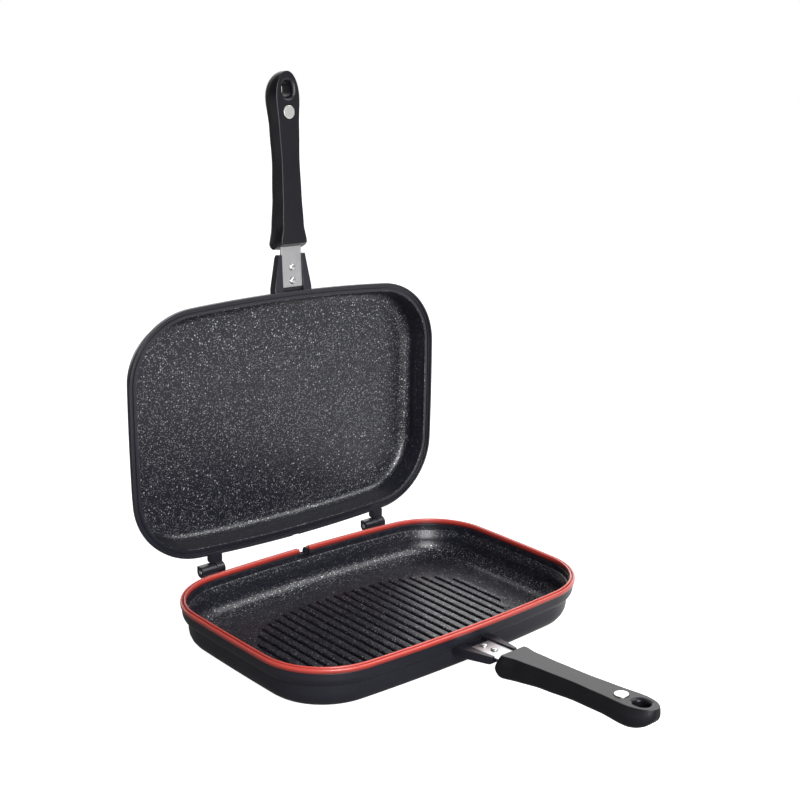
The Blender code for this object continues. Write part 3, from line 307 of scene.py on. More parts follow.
# %% Outline
HALF_LENGTH = 0.180
HALF_WIDTH = 0.12275
CORNER_RADIUS = 0.0665
LONG_SIDE_BOW = 0.0038
SHORT_SIDE_BOW = 0.0005
CORNER_X = HALF_LENGTH - CORNER_RADIUS - SHORT_SIDE_BOW
CORNER_Y = HALF_WIDTH - CORNER_RADIUS - LONG_SIDE_BOW
LONG_SIDE_STEPS = 10
CORNER_STEPS = 20
SHORT_SIDE_STEPS = 6


def station(x, y, normal_x, normal_y):
    """Matrix of a place on the outline, from its point and its outward normal."""
    outward = Vector((normal_x, normal_y, 0)).normalized()
    turn = Matrix((outward.cross((0, 0, 1)), outward, (0, 0, 1))).transposed().to_4x4()
    return Matrix.Translation((x, y, 0)) @ turn


def rear_station(x):
    """A place on the rear side, at a distance x from its middle."""
    share = x / CORNER_X
    return station(x, HALF_WIDTH - LONG_SIDE_BOW * share ** 2, 2 * LONG_SIDE_BOW * share / CORNER_X, 1)


def quarter_outline():
    """Places from the middle of the rear side to the middle of the right end, clockwise."""
    low = math.atan2(2 * SHORT_SIDE_BOW, CORNER_Y)
    high = math.pi / 2 - math.atan2(2 * LONG_SIDE_BOW, CORNER_X)
    across = CORNER_RADIUS / (math.cos(low) - math.cos(high))
    along = CORNER_RADIUS / (math.sin(high) - math.sin(low))
    places = [rear_station(CORNER_X * i / LONG_SIDE_STEPS) for i in range(LONG_SIDE_STEPS)]
    for i in range(CORNER_STEPS):
        angle = high + (low - high) * i / CORNER_STEPS
        places.append(station(CORNER_X + across * (math.cos(angle) - math.cos(high)),
                              CORNER_Y + along * (math.sin(angle) - math.sin(low)),
                              math.cos(angle) / across, math.sin(angle) / along))
    for i in range(SHORT_SIDE_STEPS + 1):
        y = CORNER_Y * (1 - i / SHORT_SIDE_STEPS)
        places.append(station(HALF_LENGTH - SHORT_SIDE_BOW * (y / CORNER_Y) ** 2, y,
                              1, 2 * SHORT_SIDE_BOW * y / CORNER_Y ** 2))
    return places


def mirrored(places, sign_x, sign_y):
    """The same places in another quarter."""
    return [station(place.translation.x * sign_x, place.translation.y * sign_y,
                    place[0][1] * sign_x, place[1][1] * sign_y) for place in places]


quarter = quarter_outline()
turned_back = quarter[::-1]
outline = (quarter + mirrored(turned_back, 1, -1)[1:] + mirrored(quarter, -1, -1)[1:]
           + mirrored(turned_back, -1, 1)[1:-1])
print("places on the outline:", len(outline))

# %% [markdown]
# ## Drawing and sweeping a section
# A section starts as a few corner points joined by edges. Bevel, told to work on vertices, rounds each corner
# by its own amount, which is how a die maker would draw it. Sweeping extrudes the whole row of edges from one
# place to the next and moves the new row there. Spin could do the corners and a straight extrusion the sides,
# but the sides of this pan are bowed, so one sweep through many places does both.


# %% Section and sweep
def draw(corners, closed=False, steps=6):
    """A bmesh with one row of edges through (across, up, rounding) corners in the YZ plane."""
    mesh = bmesh.new()
    points = [mesh.verts.new((0, across, up)) for across, up, _ in corners]
    for pair in zip(points, points[1:]):
        mesh.edges.new(pair)
    if closed:
        mesh.edges.new((points[-1], points[0]))
    for point, (_, _, rounding) in zip(points, corners):
        if rounding:
            bmesh.ops.bevel(mesh, geom=[point], affect="VERTICES", offset=rounding, offset_type="OFFSET",
                            segments=steps, profile=0.5, material=-1)
    return mesh


def draw_wall(corners, steps=6):
    """A section given as (inset, height, rounding) from the outline inwards."""
    return draw([(-inset, height, rounding) for inset, height, rounding in corners], steps=steps)


def sweep(mesh, places, endless=False, cap=False):
    """Extrude the drawn row from place to place, and merge or cap its ends."""
    edges = mesh.edges[:]
    if cap:
        bmesh.ops.contextual_create(mesh, geom=edges)
    bmesh.ops.transform(mesh, matrix=places[0], verts=mesh.verts[:])
    path = places + [places[0]] if endless else places
    for before, after in zip(path, path[1:]):
        made = bmesh.ops.extrude_edge_only(mesh, edges=edges)["geom"]
        row = [item for item in made if isinstance(item, bmesh.types.BMVert)]
        fresh = set(row)
        edges = [item for item in made if isinstance(item, bmesh.types.BMEdge) and fresh.issuperset(item.verts)]
        bmesh.ops.transform(mesh, matrix=after @ before.inverted(), verts=row)
    if cap:
        bmesh.ops.contextual_create(mesh, geom=edges)
    if endless:
        bmesh.ops.remove_doubles(mesh, verts=mesh.verts, dist=0.00001)
    return mesh


def close(mesh):
    """Fill every open loop and point all faces outwards."""
    bmesh.ops.holes_fill(mesh, edges=[edge for edge in mesh.edges if edge.is_boundary], sides=0)
    bmesh.ops.recalc_face_normals(mesh, faces=mesh.faces)
    return mesh


def paint(mesh, slot):
    """Give all faces of a part of a piece one of the piece's materials."""
    for face in mesh.faces:
        face.material_index = slot
    return mesh


def join(meshes):
    """One bmesh from several, which are freed."""
    whole = bmesh.new()
    for part in meshes:
        data = bpy.data.meshes.new("part")
        part.to_mesh(data)
        part.free()
        whole.from_mesh(data)
        bpy.data.meshes.remove(data)
    return whole


def soften(mesh, width, steps=2, angle=50):
    """Bevel every edge that is sharper than an angle in degrees."""
    sharp = [edge for edge in mesh.edges if edge.is_manifold and edge.calc_face_angle(0) > math.radians(angle)]
    bmesh.ops.bevel(mesh, geom=sharp, affect="EDGES", offset=width, offset_type="OFFSET", segments=steps,
                    profile=0.5, clamp_overlap=True, material=-1)
    return mesh


def slab(corners, start, end, edge=0.0, steps=6):
    """A closed plate: the outline in the YZ plane from start to end along X, with softened edges."""
    mesh = sweep(draw(corners, closed=True, steps=steps),
                 [Matrix.Translation((x, 0, 0)) for x in (start, end)], cap=True)
    bmesh.ops.recalc_face_normals(mesh, faces=mesh.faces)
    return soften(mesh, edge) if edge else mesh


def lathe(corners, matrix, steps):
    """Spin a section of (radius, height, rounding) corners about Z, then put it in its place."""
    mesh = draw(corners, steps=4)
    bmesh.ops.spin(mesh, geom=mesh.verts[:] + mesh.edges[:], cent=(0, 0, 0), axis=(0, 0, 1),
                   angle=2 * math.pi, steps=steps, use_merge=True)
    bmesh.ops.remove_doubles(mesh, verts=mesh.verts, dist=0.00001)
    bmesh.ops.recalc_face_normals(mesh, faces=mesh.faces)
    bmesh.ops.transform(mesh, matrix=matrix, verts=mesh.verts)
    return mesh


def rod(radius, low, high, rounding, matrix, steps):
    """A round rod from low to high along Z, with rounded edges, put in its place."""
    return lathe([(0, low, 0), (radius, low, rounding), (radius, high, rounding), (0, high, 0)], matrix, steps)


def carve(mesh, cutters):
    """Cut other bmeshes out of this one with a Boolean modifier that is applied at once."""
    made = []
    for part in [mesh] + cutters:
        data = bpy.data.meshes.new("carving")
        part.to_mesh(data)
        part.free()
        made.append(bpy.data.objects.new("carving", data))
        bpy.context.scene.collection.objects.link(made[-1])
    for cutter in made[1:]:
        modifier = made[0].modifiers.new("cut", "BOOLEAN")
        modifier.object = cutter
        modifier.solver = "EXACT"
    bpy.context.view_layer.update()
    result = bpy.data.meshes.new_from_object(made[0].evaluated_get(bpy.context.evaluated_depsgraph_get()))
    carved = bmesh.new()
    carved.from_mesh(result)
    for helper in made:
        bpy.data.objects.remove(helper)
    bpy.data.meshes.remove(result)
    return carved


# %% [markdown]
# ## From bmesh to piece
# A finished piece is shaded smooth, except along edges sharper than 35 degrees. A Weighted Normal modifier then
# lets the large flat faces decide the shading, so that a flat face looks flat right up to its rounded edge. The
# piece rides on the CAD body that it belongs to, and hides the CAD nodes that it stands for.


# %% Piece maker
def finish_piece(name, mesh, materials, body, nodes):
    """Make an object from a bmesh, parent it to its body, and hide the CAD nodes that it replaces."""
    data = bpy.data.meshes.new(name)
    mesh.to_mesh(data)
    mesh.free()
    for material in materials:
        data.materials.append(material)
    data.shade_smooth()
    data.set_sharp_from_angle(angle=math.radians(35))
    piece = bpy.data.objects.new(name, data)
    bpy.context.scene.collection.objects.link(piece)
    weighted = piece.modifiers.new("flat_faces_rule", "WEIGHTED_NORMAL")
    weighted.keep_sharp = True
    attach(piece, body)
    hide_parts(*nodes)
    print(name, "faces:", len(data.polygons))


# %% [markdown]
# ## Lower half: wall
# The lower half is one die casting. Seen in section, its wall rises from a large bottom radius and steps out over
# a chamfer into a collar, which carries the seal on its rim. Inside it comes down with a small step, a little
# draft and a wide fillet into the floor. The inside row gets the granite coating and the outside row the plain
# coat, so they are swept as two parts that share the inner edge of the rim. The upper half is made the same way.

# %% Lower wall
OUTER_COAT, GRANITE = 0, 1
RIM_TOP = 0.0369
FLOOR = 0.0048
inner_rim = (0.0079, RIM_TOP - 0.0008)
lower_outside = [
    (0.040, 0, 0), (0.0095, 0, 0.0149), (0.0088, 0.0249, 0.0004), (0.0066, 0.0249, 0), (0.0036, 0.0283, 0.0030),
    (0.0036, RIM_TOP, 0.0005), (0.0047, RIM_TOP, 0), (0.0047, RIM_TOP - 0.0025, 0),
    (0.0067, RIM_TOP - 0.0025, 0), (0.0067, RIM_TOP, 0), (0.0079, RIM_TOP, 0.0004),
    (*inner_rim, 0)]
lower_inside = [
    (*inner_rim, 0), (0.0079, 0.0311, 0.0002), (0.0090, 0.0306, 0.0003), (0.0126, 0.0232, 0.0030),
    (0.0140, FLOOR, 0.0174), (0.038, FLOOR, 0)]


def cast_wall(outside, inside, flat, facing):
    """Both sides of a wall, joined along their shared edge. Inside faces at the height flat get the coating."""
    wall = join([paint(sweep(draw_wall(outside), outline, endless=True), OUTER_COAT),
                 paint(sweep(draw_wall(inside, steps=8), outline, endless=True), GRANITE)])
    bmesh.ops.remove_doubles(wall, verts=wall.verts, dist=0.00002)
    close(wall)
    for face in wall.faces:
        if face.normal.z * facing > 0.9 and abs(face.calc_center_median().z - flat) < 0.0004:
            face.material_index = GRANITE
    return wall


# %% [markdown]
# ## Lower half: ribs
# The floor carries 23 broad ribs from front to rear, with narrow grooves between them, and their ends follow a
# rounded outline. An Array modifier could repeat one rib, but these differ in length. So each rib is a cube of
# its own that is stretched, narrowed at its top and beveled along its upper edges, a few dozen faces in all, and
# sunk a little into the floor.

# %% Ribs
RIB_PITCH = 0.01093
RIBS_EACH_SIDE = 11
RIB_FOOT_WIDTH = 0.00893
RIB_TOP_SHARE = 0.83
RIB_HEIGHT = 0.0025
RIB_SINK = 0.001
RIB_BEVEL = 0.0011
RIB_END_RUN = 0.003
RIB_FIELD_HALF_LENGTH = 0.1265
RIB_FIELD_HALF_WIDTH = 0.078
RIB_FIELD_FORWARD = 0.006
RIB_FIELD_POWER = 2.7


def rib(x):
    """One rib, beveled along its upper edges, at a place across the floor."""
    share = 1 - (abs(x) / RIB_FIELD_HALF_LENGTH) ** RIB_FIELD_POWER
    reach = RIB_FIELD_HALF_WIDTH * share ** (1 / RIB_FIELD_POWER)
    height = RIB_HEIGHT + RIB_SINK
    mesh = bmesh.new()
    bmesh.ops.create_cube(mesh, size=1, matrix=Matrix.Diagonal((RIB_FOOT_WIDTH, 2 * reach, height, 1)))
    upper = [vert for vert in mesh.verts if vert.co.z > 0]
    shrink = Matrix.Diagonal((RIB_TOP_SHARE, 1 - RIB_END_RUN / reach, 1, 1))
    bmesh.ops.transform(mesh, matrix=shrink, verts=upper)
    crest = [edge for edge in mesh.edges if any(vert.co.z > 0 for vert in edge.verts)]
    bmesh.ops.bevel(mesh, geom=crest, affect="EDGES", offset=RIB_BEVEL, offset_type="OFFSET", segments=3,
                    profile=0.5, material=-1)
    bmesh.ops.translate(mesh, vec=(x, -RIB_FIELD_FORWARD, FLOOR + RIB_HEIGHT - height / 2), verts=mesh.verts)
    return paint(mesh, GRANITE)


rib_row = [rib(index * RIB_PITCH) for index in range(-RIBS_EACH_SIDE, RIBS_EACH_SIDE + 1)]
print("ribs:", len(rib_row))

# %% [markdown]
# ## Handle line
# Each half carries its handle on a line that rises by 3.6 degrees towards the tip. A matrix describes it: X
# across the handle, Y outwards, Z from the handle's back to its flat face. Modelled once in that frame, every
# fitting serves both halves. The upper half is modelled closed and then turned open about the hinge axis.

# %% Handle frames
HANDLE_RISE = math.radians(3.62)
HANDLE_ROOT = 0.126
HANDLE_MID_HEIGHT = 0.03515
HALF_GRIP_GAP = 0.0010
STRAP_DROP = 0.0063
STRAP_BELOW_MID = HALF_GRIP_GAP + STRAP_DROP * math.cos(HANDLE_RISE)
swing_open = (Matrix.Translation(hinge_axis) @ Matrix.Rotation(-open_angle, 4, "X")
              @ Matrix.Translation(-hinge_axis))


def handle_frame(side):
    """Frame of a handle line, below (-1) or above (1) the plane between the closed handles."""
    outwards = Vector((0, -math.cos(HANDLE_RISE), math.sin(HANDLE_RISE)))
    facing = Vector((0, math.sin(HANDLE_RISE), math.cos(HANDLE_RISE))) * -side
    turn = Matrix((outwards.cross(facing), outwards, facing)).transposed().to_4x4()
    return Matrix.Translation((0, -HANDLE_ROOT, HANDLE_MID_HEIGHT + side * STRAP_BELOW_MID)) @ turn


line_frames = {"lower": handle_frame(-1), "upper": swing_open @ handle_frame(1)}
bodies = {"lower": "lower_half", "upper": "upper_half"}

# %% [markdown]
# ## Cast bracket
# A tongue of the casting reaches out under the strap, with a wing on either side of it. Its section is drawn
# once, swept along the handle line, and then tapered by moving its outer points inwards, which keeps the
# channel for the strap straight. Its underside rises towards the rounded end.

# %% Bracket
LOWER_WING_INSET = 0.0056
UPPER_WING_INSET = 0.00095
BRACKET_REACH = 0.0315
WINGS = 0.0215
WING_TOP = 0.0015
WING_LOW = -0.0074
CHANNEL = 0.0118
CHANNEL_FLOOR = -0.0023
WING_TAPER = 0.0063 / 0.0097
ROUND_END_START = 0.027


def bracket(wing_inset, frame_matrix):
    """The cast bracket from inside the wall to its rounded end."""
    corners = [(-WINGS, WING_LOW, 0.0012), (WINGS, WING_LOW, 0.0012), (WINGS, WING_TOP, 0.0008),
               (CHANNEL, WING_TOP, 0.0003), (CHANNEL, CHANNEL_FLOOR, 0), (-CHANNEL, CHANNEL_FLOOR, 0),
               (-CHANNEL, WING_TOP, 0.0003), (-WINGS, WING_TOP, 0.0008)]
    start = HALF_WIDTH - HANDLE_ROOT - wing_inset
    stops = [start, 0, 0.008, 0.016, 0.024, 0.0278, 0.0298, 0.0309, BRACKET_REACH]
    mesh = draw(corners, closed=True, steps=3)
    bmesh.ops.transform(mesh, matrix=Matrix.Rotation(-math.pi / 2, 4, "Z"), verts=mesh.verts)
    sweep(mesh, [Matrix.Translation((0, stop, 0)) for stop in stops], cap=True)
    for vert in mesh.verts:
        along = max(vert.co.y, 0)
        taper = 1 - WING_TAPER * along / BRACKET_REACH
        if abs(vert.co.x) > CHANNEL + 0.0001:
            vert.co.x = math.copysign(CHANNEL + (abs(vert.co.x) - CHANNEL) * taper, vert.co.x)
        end = min(1, max(0, (along - ROUND_END_START) / (BRACKET_REACH - ROUND_END_START)))
        thin = 1 - 0.3 * along / BRACKET_REACH - 0.45 * (1 - math.sqrt(1 - end ** 2))
        if vert.co.z < CHANNEL_FLOOR - 0.0007:
            vert.co.z = CHANNEL_FLOOR + (vert.co.z - CHANNEL_FLOOR) * thin
    bmesh.ops.recalc_face_normals(mesh, faces=mesh.faces)
    soften(mesh, 0.0006)
    bmesh.ops.transform(mesh, matrix=frame_matrix, verts=mesh.verts)
    return paint(mesh, OUTER_COAT)


# %% [markdown]
# ## Hinges
# Two hinges stand at the rear. The lower lug is a web with a round knuckle and a square corner on top, which
# is the stop: the tab of the open upper half rests against it. Each shape is a slab: its side view is drawn
# with corners, the round ones beveled by nearly the knuckle's radius, and pushed out to its length.

# %% Hinge shapes
KNUCKLE = 0.00535
KNUCKLE_ROUNDING = 0.0052
HINGE_LENGTH = 0.0254
HINGE_STARTS = (-0.1147, 0.0861)
LID_KNUCKLE_LENGTH = 0.0088
LID_TAB_LENGTH = 0.0120
PLAY = 0.0003
HINGE_EDGE = 0.0004


def hinge_slab(corners, start, end):
    """A slab with softened edges, from corners that are given from the hinge axis."""
    moved = [(across + hinge_axis.y, up + hinge_axis.z, rounding) for across, up, rounding in corners]
    return paint(slab(moved, start, end, HINGE_EDGE), OUTER_COAT)


def lower_lug(start):
    """Web, knuckle and stop of one lower lug."""
    corners = [(-0.0205, -0.0012, 0), (-0.0205, -0.0110, 0), (-0.0014, -KNUCKLE, 0.0010),
               (KNUCKLE, -KNUCKLE, KNUCKLE_ROUNDING), (KNUCKLE, KNUCKLE, 0.0009),
               (-KNUCKLE, KNUCKLE, KNUCKLE_ROUNDING), (-KNUCKLE, -0.0012, 0.0004)]
    end = start + HINGE_LENGTH - LID_KNUCKLE_LENGTH - PLAY / 2
    return hinge_slab(corners, start, end)


def lid_tab(start):
    """The tab of the closed upper half, over the lug and the knuckle."""
    corners = [(-0.0211, 0.0080, 0), (-0.0211, 0.0048, 0), (-0.0142, 0.0048, 0), (-0.0142, 0.0003, 0.0002),
               (-0.00565, 0.0003, 0.0004), (-0.00565, 0.0065, 0.0004), (-0.00715, 0.0080, 0.0005)]
    end = start + HINGE_LENGTH
    return hinge_slab(corners, end - LID_TAB_LENGTH, end)


def lid_knuckle(start):
    """The upper half's knuckle and the web that joins it to the tab."""
    corners = [(-KNUCKLE, -KNUCKLE, KNUCKLE_ROUNDING), (KNUCKLE, -KNUCKLE, KNUCKLE_ROUNDING),
               (KNUCKLE, 0.0031, 0.0028), (0.0026, 0.0047, 0.0006), (-0.0028, 0.0068, 0.0008),
               (-0.00595, 0.0065, 0), (-0.00595, 0.0003, 0)]
    end = start + HINGE_LENGTH
    return hinge_slab(corners, end - LID_KNUCKLE_LENGTH + PLAY / 2, end)


# %% [markdown]
# ## Steam vent and the finished lower half
# In the middle of the rear rim a small oval passage lets steam out, between the two ends of the seal. Inside, an
# oval boss stands round it. A Boolean cuts the passage through wall and boss, because a through hole in a swept
# wall has no simpler operator.

# %% Lower half
VENT_X = -0.0022
VENT_WIDTH = 0.0036
VENT_HEIGHT = 0.0084
VENT_MIDDLE = 0.0363
VENT_WALL = 0.0008
VENT_BORE = (0.110, 0.130)
VENT_BOSS = (0.1134, 0.1187)


def vent_bar(grow, y_low, y_high):
    """An upright oval bar through the rear rim."""
    half_width, half_height = VENT_WIDTH / 2 + grow, VENT_HEIGHT / 2 + grow
    corners = [(sx * half_width, VENT_MIDDLE + sz * half_height, half_width * 0.96)
               for sx, sz in ((-1, -1), (1, -1), (1, 1), (-1, 1))]
    mesh = slab(corners, y_low, y_high)
    turn = Matrix.Translation((VENT_X, 0, 0)) @ Matrix.Rotation(math.pi / 2, 4, "Z")
    bmesh.ops.transform(mesh, matrix=turn, verts=mesh.verts)
    return mesh


boss = carve(vent_bar(VENT_WALL, *VENT_BOSS), [vent_bar(0, *VENT_BORE)])
wall = carve(cast_wall(lower_outside, lower_inside, FLOOR, 1), [vent_bar(0, *VENT_BORE)])
lower_parts = [wall, paint(boss, OUTER_COAT), bracket(LOWER_WING_INSET, line_frames["lower"])] + rib_row
lower_parts += [lower_lug(start) for start in HINGE_STARTS]
finish_piece("lower_half_casting", join(lower_parts), [outer_coat, lower_granite], "lower_half",
             ["lower_pan"])

# %% [markdown]
# ## Silicone seal
# The seal is one strip, pushed into a slot in the rim. Its top has two round beads, the outer one a little
# lower, with a narrow valley between them. It starts and stops beside the vent, so its path is the outline with
# its first and last places moved.

# %% Seal
SEAL_LOW = 0.0372
SEAL_TOP = 0.0420
OUTER_TOP = 0.0414
VALLEY = 0.0396
FOOT = 0.0347
INNER_BEAD = 0.00094
OUTER_BEAD = 0.00115
SEAL_START = 0.0012
SEAL_END = -0.0098
END_SLANT = 0.0018


def make_seal():
    """The strip from one side of the vent round to the other, with a slanting cut at its end."""
    corners = [(-0.0022, SEAL_LOW, 0.0008), (-0.0022, OUTER_TOP, OUTER_BEAD), (-0.00455, OUTER_TOP, OUTER_BEAD),
               (-0.0046, VALLEY, 0.0002), (-0.0054, VALLEY, 0.0002), (-0.0055, SEAL_TOP, INNER_BEAD),
               (-0.0074, SEAL_TOP, INNER_BEAD), (-0.0074, SEAL_LOW, 0.0008), (-0.0064, SEAL_LOW, 0),
               (-0.0064, FOOT, 0), (-0.0050, FOOT, 0), (-0.0050, SEAL_LOW, 0)]
    path = [rear_station(SEAL_START)] + outline[1:] + [rear_station(SEAL_END)]
    mesh = sweep(draw(corners, closed=True), path, cap=True)
    for vert in mesh.verts:
        if abs(vert.co.x - SEAL_END) < 0.0004 and vert.co.y > 0:
            vert.co.x -= END_SLANT * (vert.co.z - SEAL_LOW) / (SEAL_TOP - SEAL_LOW)
    bmesh.ops.recalc_face_normals(mesh, faces=mesh.faces)
    return mesh


finish_piece("seal_strip", make_seal(), [silicone], "lower_half", ["silicone_seal"])

# %% [markdown]
# ## Upper half
# The upper half is shallower. A narrow flange runs round its rim, with a lip that reaches over the seal and a
# groove beside it. A notch in the lip leaves room for the vent. The wall behind the flange leans in to a large
# radius and the flat top. Inside it has the same granite coating. It is swept closed and then swung open.

# %% Upper half
SEALING_FACE = 0.0423
LID_TOP = 0.071
CEILING = 0.0685
FLANGE_TOP = 0.0443
LIP_LOW = 0.0401
GROOVE_TOP = 0.0436
NOTCH_HALF_WIDTH = 0.00405
lid_outside = [
    (0.040, LID_TOP, 0), (0.0083, LID_TOP, 0.0178), (0.0083, 0.0552, 0.0006), (0.0052, 0.0490, 0.0010),
    (0.0052, FLANGE_TOP, 0.0035), (0, FLANGE_TOP, 0.0006), (0, LIP_LOW, 0.0005), (0.0019, LIP_LOW, 0.0003),
    (0.0019, SEALING_FACE, 0.0002), (0.0039, SEALING_FACE, 0.0002), (0.0039, GROOVE_TOP, 0),
    (0.0052, GROOVE_TOP, 0), (0.0052, SEALING_FACE, 0.0002), (0.0078, SEALING_FACE, 0)]
lid_inside = [
    (0.0078, SEALING_FACE, 0), (0.0082, SEALING_FACE, 0.0003), (0.0086, 0.0429, 0.0003),
    (0.0112, 0.0565, 0.0040), (0.0120, CEILING, 0.0112), (0.036, CEILING, 0)]
lip_notch = slab([(0.1193, 0.0380, 0), (0.1260, 0.0380, 0), (0.1260, 0.0419, 0), (0.1193, 0.0419, 0)],
                 -NOTCH_HALF_WIDTH, NOTCH_HALF_WIDTH)
lid_parts = [carve(cast_wall(lid_outside, lid_inside, CEILING, -1), [lip_notch])]
for start in HINGE_STARTS:
    lid_parts += [lid_tab(start), lid_knuckle(start)]
lid = join(lid_parts)
bmesh.ops.transform(lid, matrix=swing_open, verts=lid.verts)
lid = join([lid, bracket(UPPER_WING_INSET, line_frames["upper"])])
finish_piece("upper_half_casting", lid, [outer_coat, upper_granite], "upper_half", ["upper_pan"])

# %% [markdown]
# ## Handles
# Each handle is moulded round the strap. It has one flat face, so that the two handles lie along each other when
# the pan is closed. Its flanks swell to a soft crest, and its back has wide round corners for the hand. A
# subdivided box could swell like this too, but a swept section keeps the flat face truly flat. A scale in each
# place gives it the waist and the broad head. Then the end at the pan is raked, and Booleans cut the hanging slot,
# the seat of the magnet and the hole of the screw.

# %% Handle shape
GRIP_START = 0.0415
ROOT_RUN = 0.0050
ROOT_DEPTH = 0.0230
GRIP_HEAD = 0.1730
HEAD_HALF_WIDTH = 0.0130
HEAD_DEPTH = 0.0195
GRIP_TIP = 0.1962
GRIP_WIDTHS = ((GRIP_START, 0.0150), (0.0590, 0.0120), (0.0860, 0.0108), (0.1170, 0.0102), (0.1450, 0.0113),
               (GRIP_HEAD, HEAD_HALF_WIDTH))
GRIP_DEPTHS = ((GRIP_START, ROOT_DEPTH), (0.0860, 0.0192), (0.1170, 0.0180), (0.1450, 0.0180),
               (GRIP_HEAD, HEAD_DEPTH))
DRAWN_HALF_WIDTH = 0.010
DRAWN_DEPTH = 0.019
CREST = 0.0016
CREST_DEPTH = 0.0072
RAKE = 0.0060
RAKE_DEPTH = 0.0125
RAKE_REACH = 0.0445
SLOT_PLACE = 0.1802
SLOT_HALF_WIDTH = 0.0055
SLOT_HALF_LENGTH = 0.0070
MAGNET_PLACE = 0.1600
MAGNET_RADIUS = 0.0060
SEAT_RADIUS = 0.0065
SEAT_FLOOR = 0.0034
SCREW_PLACE = 0.0560
SCREW_HOLE_RADIUS = 0.0037
SCREW_HOLE_END = -0.0075
OUTSIDE_FRONT = 0.0100
OUTSIDE_BACK = -0.0200


def eased(table, along):
    """Value of a (place, value) table at a place, eased between its rows."""
    for (start, first), (end, second) in zip(table, table[1:]):
        if along <= end:
            share = max(0, (along - start) / (end - start))
            return first + (second - first) * share * share * (3 - 2 * share)
    return table[-1][1]


def grip_place(along, half_width, depth):
    """Place of a section that is scaled to its width and depth."""
    return (Matrix.Translation((0, along, STRAP_DROP))
            @ Matrix.Diagonal((half_width / DRAWN_HALF_WIDTH, 1, depth / DRAWN_DEPTH, 1)))


def grip_places():
    """Places from the end at the pan to the tip."""
    places = []
    for i in range(6):
        turn = math.pi / 2 * i / 6
        along = GRIP_START + ROOT_RUN * (1 - math.cos(turn))
        half_width = eased(GRIP_WIDTHS, along) - 0.0010 * (1 - math.sin(turn))
        places.append(grip_place(along, half_width, RAKE_DEPTH + (ROOT_DEPTH - RAKE_DEPTH) * math.sin(turn)))
    shaft_start = GRIP_START + ROOT_RUN
    for i in range(33):
        along = shaft_start + (GRIP_HEAD - shaft_start) * i / 32
        places.append(grip_place(along, eased(GRIP_WIDTHS, along), eased(GRIP_DEPTHS, along)))
    for i in range(1, 14):
        turn = math.pi / 2 * i / 14
        places.append(grip_place(GRIP_HEAD + (GRIP_TIP - GRIP_HEAD) * math.sin(turn),
                                 HEAD_HALF_WIDTH * math.cos(turn), HEAD_DEPTH * (0.25 + 0.75 * math.cos(turn))))
    return places


def slot_bar(sections):
    """An upright bar with round ends for the hanging slot, given as (height, growth) sections."""
    corners = [(sx * SLOT_HALF_WIDTH, sy * SLOT_HALF_LENGTH, SLOT_HALF_WIDTH - 0.00001)
               for sx, sy in ((-1, -1), (1, -1), (1, 1), (-1, 1))]
    mesh = draw(corners, closed=True, steps=8)
    bmesh.ops.transform(mesh, matrix=Matrix.Rotation(math.pi / 2, 4, "Y"), verts=mesh.verts)
    turn = Matrix.Rotation(math.pi / 2, 4, "Z")
    places = [Matrix.Translation((0, SLOT_PLACE, height)) @ turn
              @ Matrix.Diagonal((1 + growth / SLOT_HALF_LENGTH, 1 + growth / SLOT_HALF_WIDTH, 1, 1))
              for height, growth in sections]
    return close(sweep(mesh, places, cap=True))


def make_grip():
    """The moulded handle in the handle frame."""
    half = DRAWN_HALF_WIDTH
    corners = [(-half, 0, 0.0008), (half, 0, 0.0008), (half + CREST, -CREST_DEPTH, 0.0020),
               (half + CREST, -DRAWN_DEPTH, 0.0064), (-half - CREST, -DRAWN_DEPTH, 0.0064),
               (-half - CREST, -CREST_DEPTH, 0.0020)]
    mesh = draw(corners, closed=True, steps=8)
    bmesh.ops.transform(mesh, matrix=Matrix.Rotation(-math.pi / 2, 4, "Z"), verts=mesh.verts)
    sweep(mesh, grip_places(), cap=True)
    for vert in mesh.verts:
        share = min(1, max(0, STRAP_DROP - vert.co.z) / RAKE_DEPTH)
        fade = max(0, 1 - (vert.co.y - GRIP_START) / RAKE_REACH) ** 2
        vert.co.y -= RAKE * share * fade
    bmesh.ops.recalc_face_normals(mesh, faces=mesh.faces)
    back = STRAP_DROP - HEAD_DEPTH
    slot = slot_bar([(back - 0.003, 0.0060), (back + 0.0028, 0.0002), (back + 0.006, 0),
                     (STRAP_DROP - 0.0028, 0), (STRAP_DROP - 0.0012, 0.0007), (STRAP_DROP - 0.0003, 0.0020),
                     (STRAP_DROP, 0.0030), (STRAP_DROP + 0.003, 0.0035)])
    seat = rod(SEAT_RADIUS, SEAT_FLOOR, OUTSIDE_FRONT, 0, Matrix.Translation((0, MAGNET_PLACE, 0)), 40)
    screw_hole = rod(SCREW_HOLE_RADIUS, OUTSIDE_BACK, SCREW_HOLE_END, 0, Matrix.Translation((0, SCREW_PLACE, 0)), 24)
    return carve(mesh, [slot, seat, screw_hole])


# %% [markdown]
# ## Straps, rivets and magnets
# The strap is a flat steel bar that runs from the bracket into the handle. Its plan is drawn with small
# roundings and pushed down by its thickness. Rivets and magnets are turned parts, so they are spun.

# %% Fittings
STRAP_HALF_WIDTH = 0.0115
STRAP_THICKNESS = 0.0020
STRAP_START = 0.0008
STRAP_END = 0.0455
STRAP_ROUNDING = 0.0008
TANG_HALF_WIDTH = 0.0065
TANG_END = 0.0600
RIVET_PLACES = (0.0067, 0.0193)
MAGNET_PROUD = 0.0008
MAGNET_THICKNESS = 0.0034


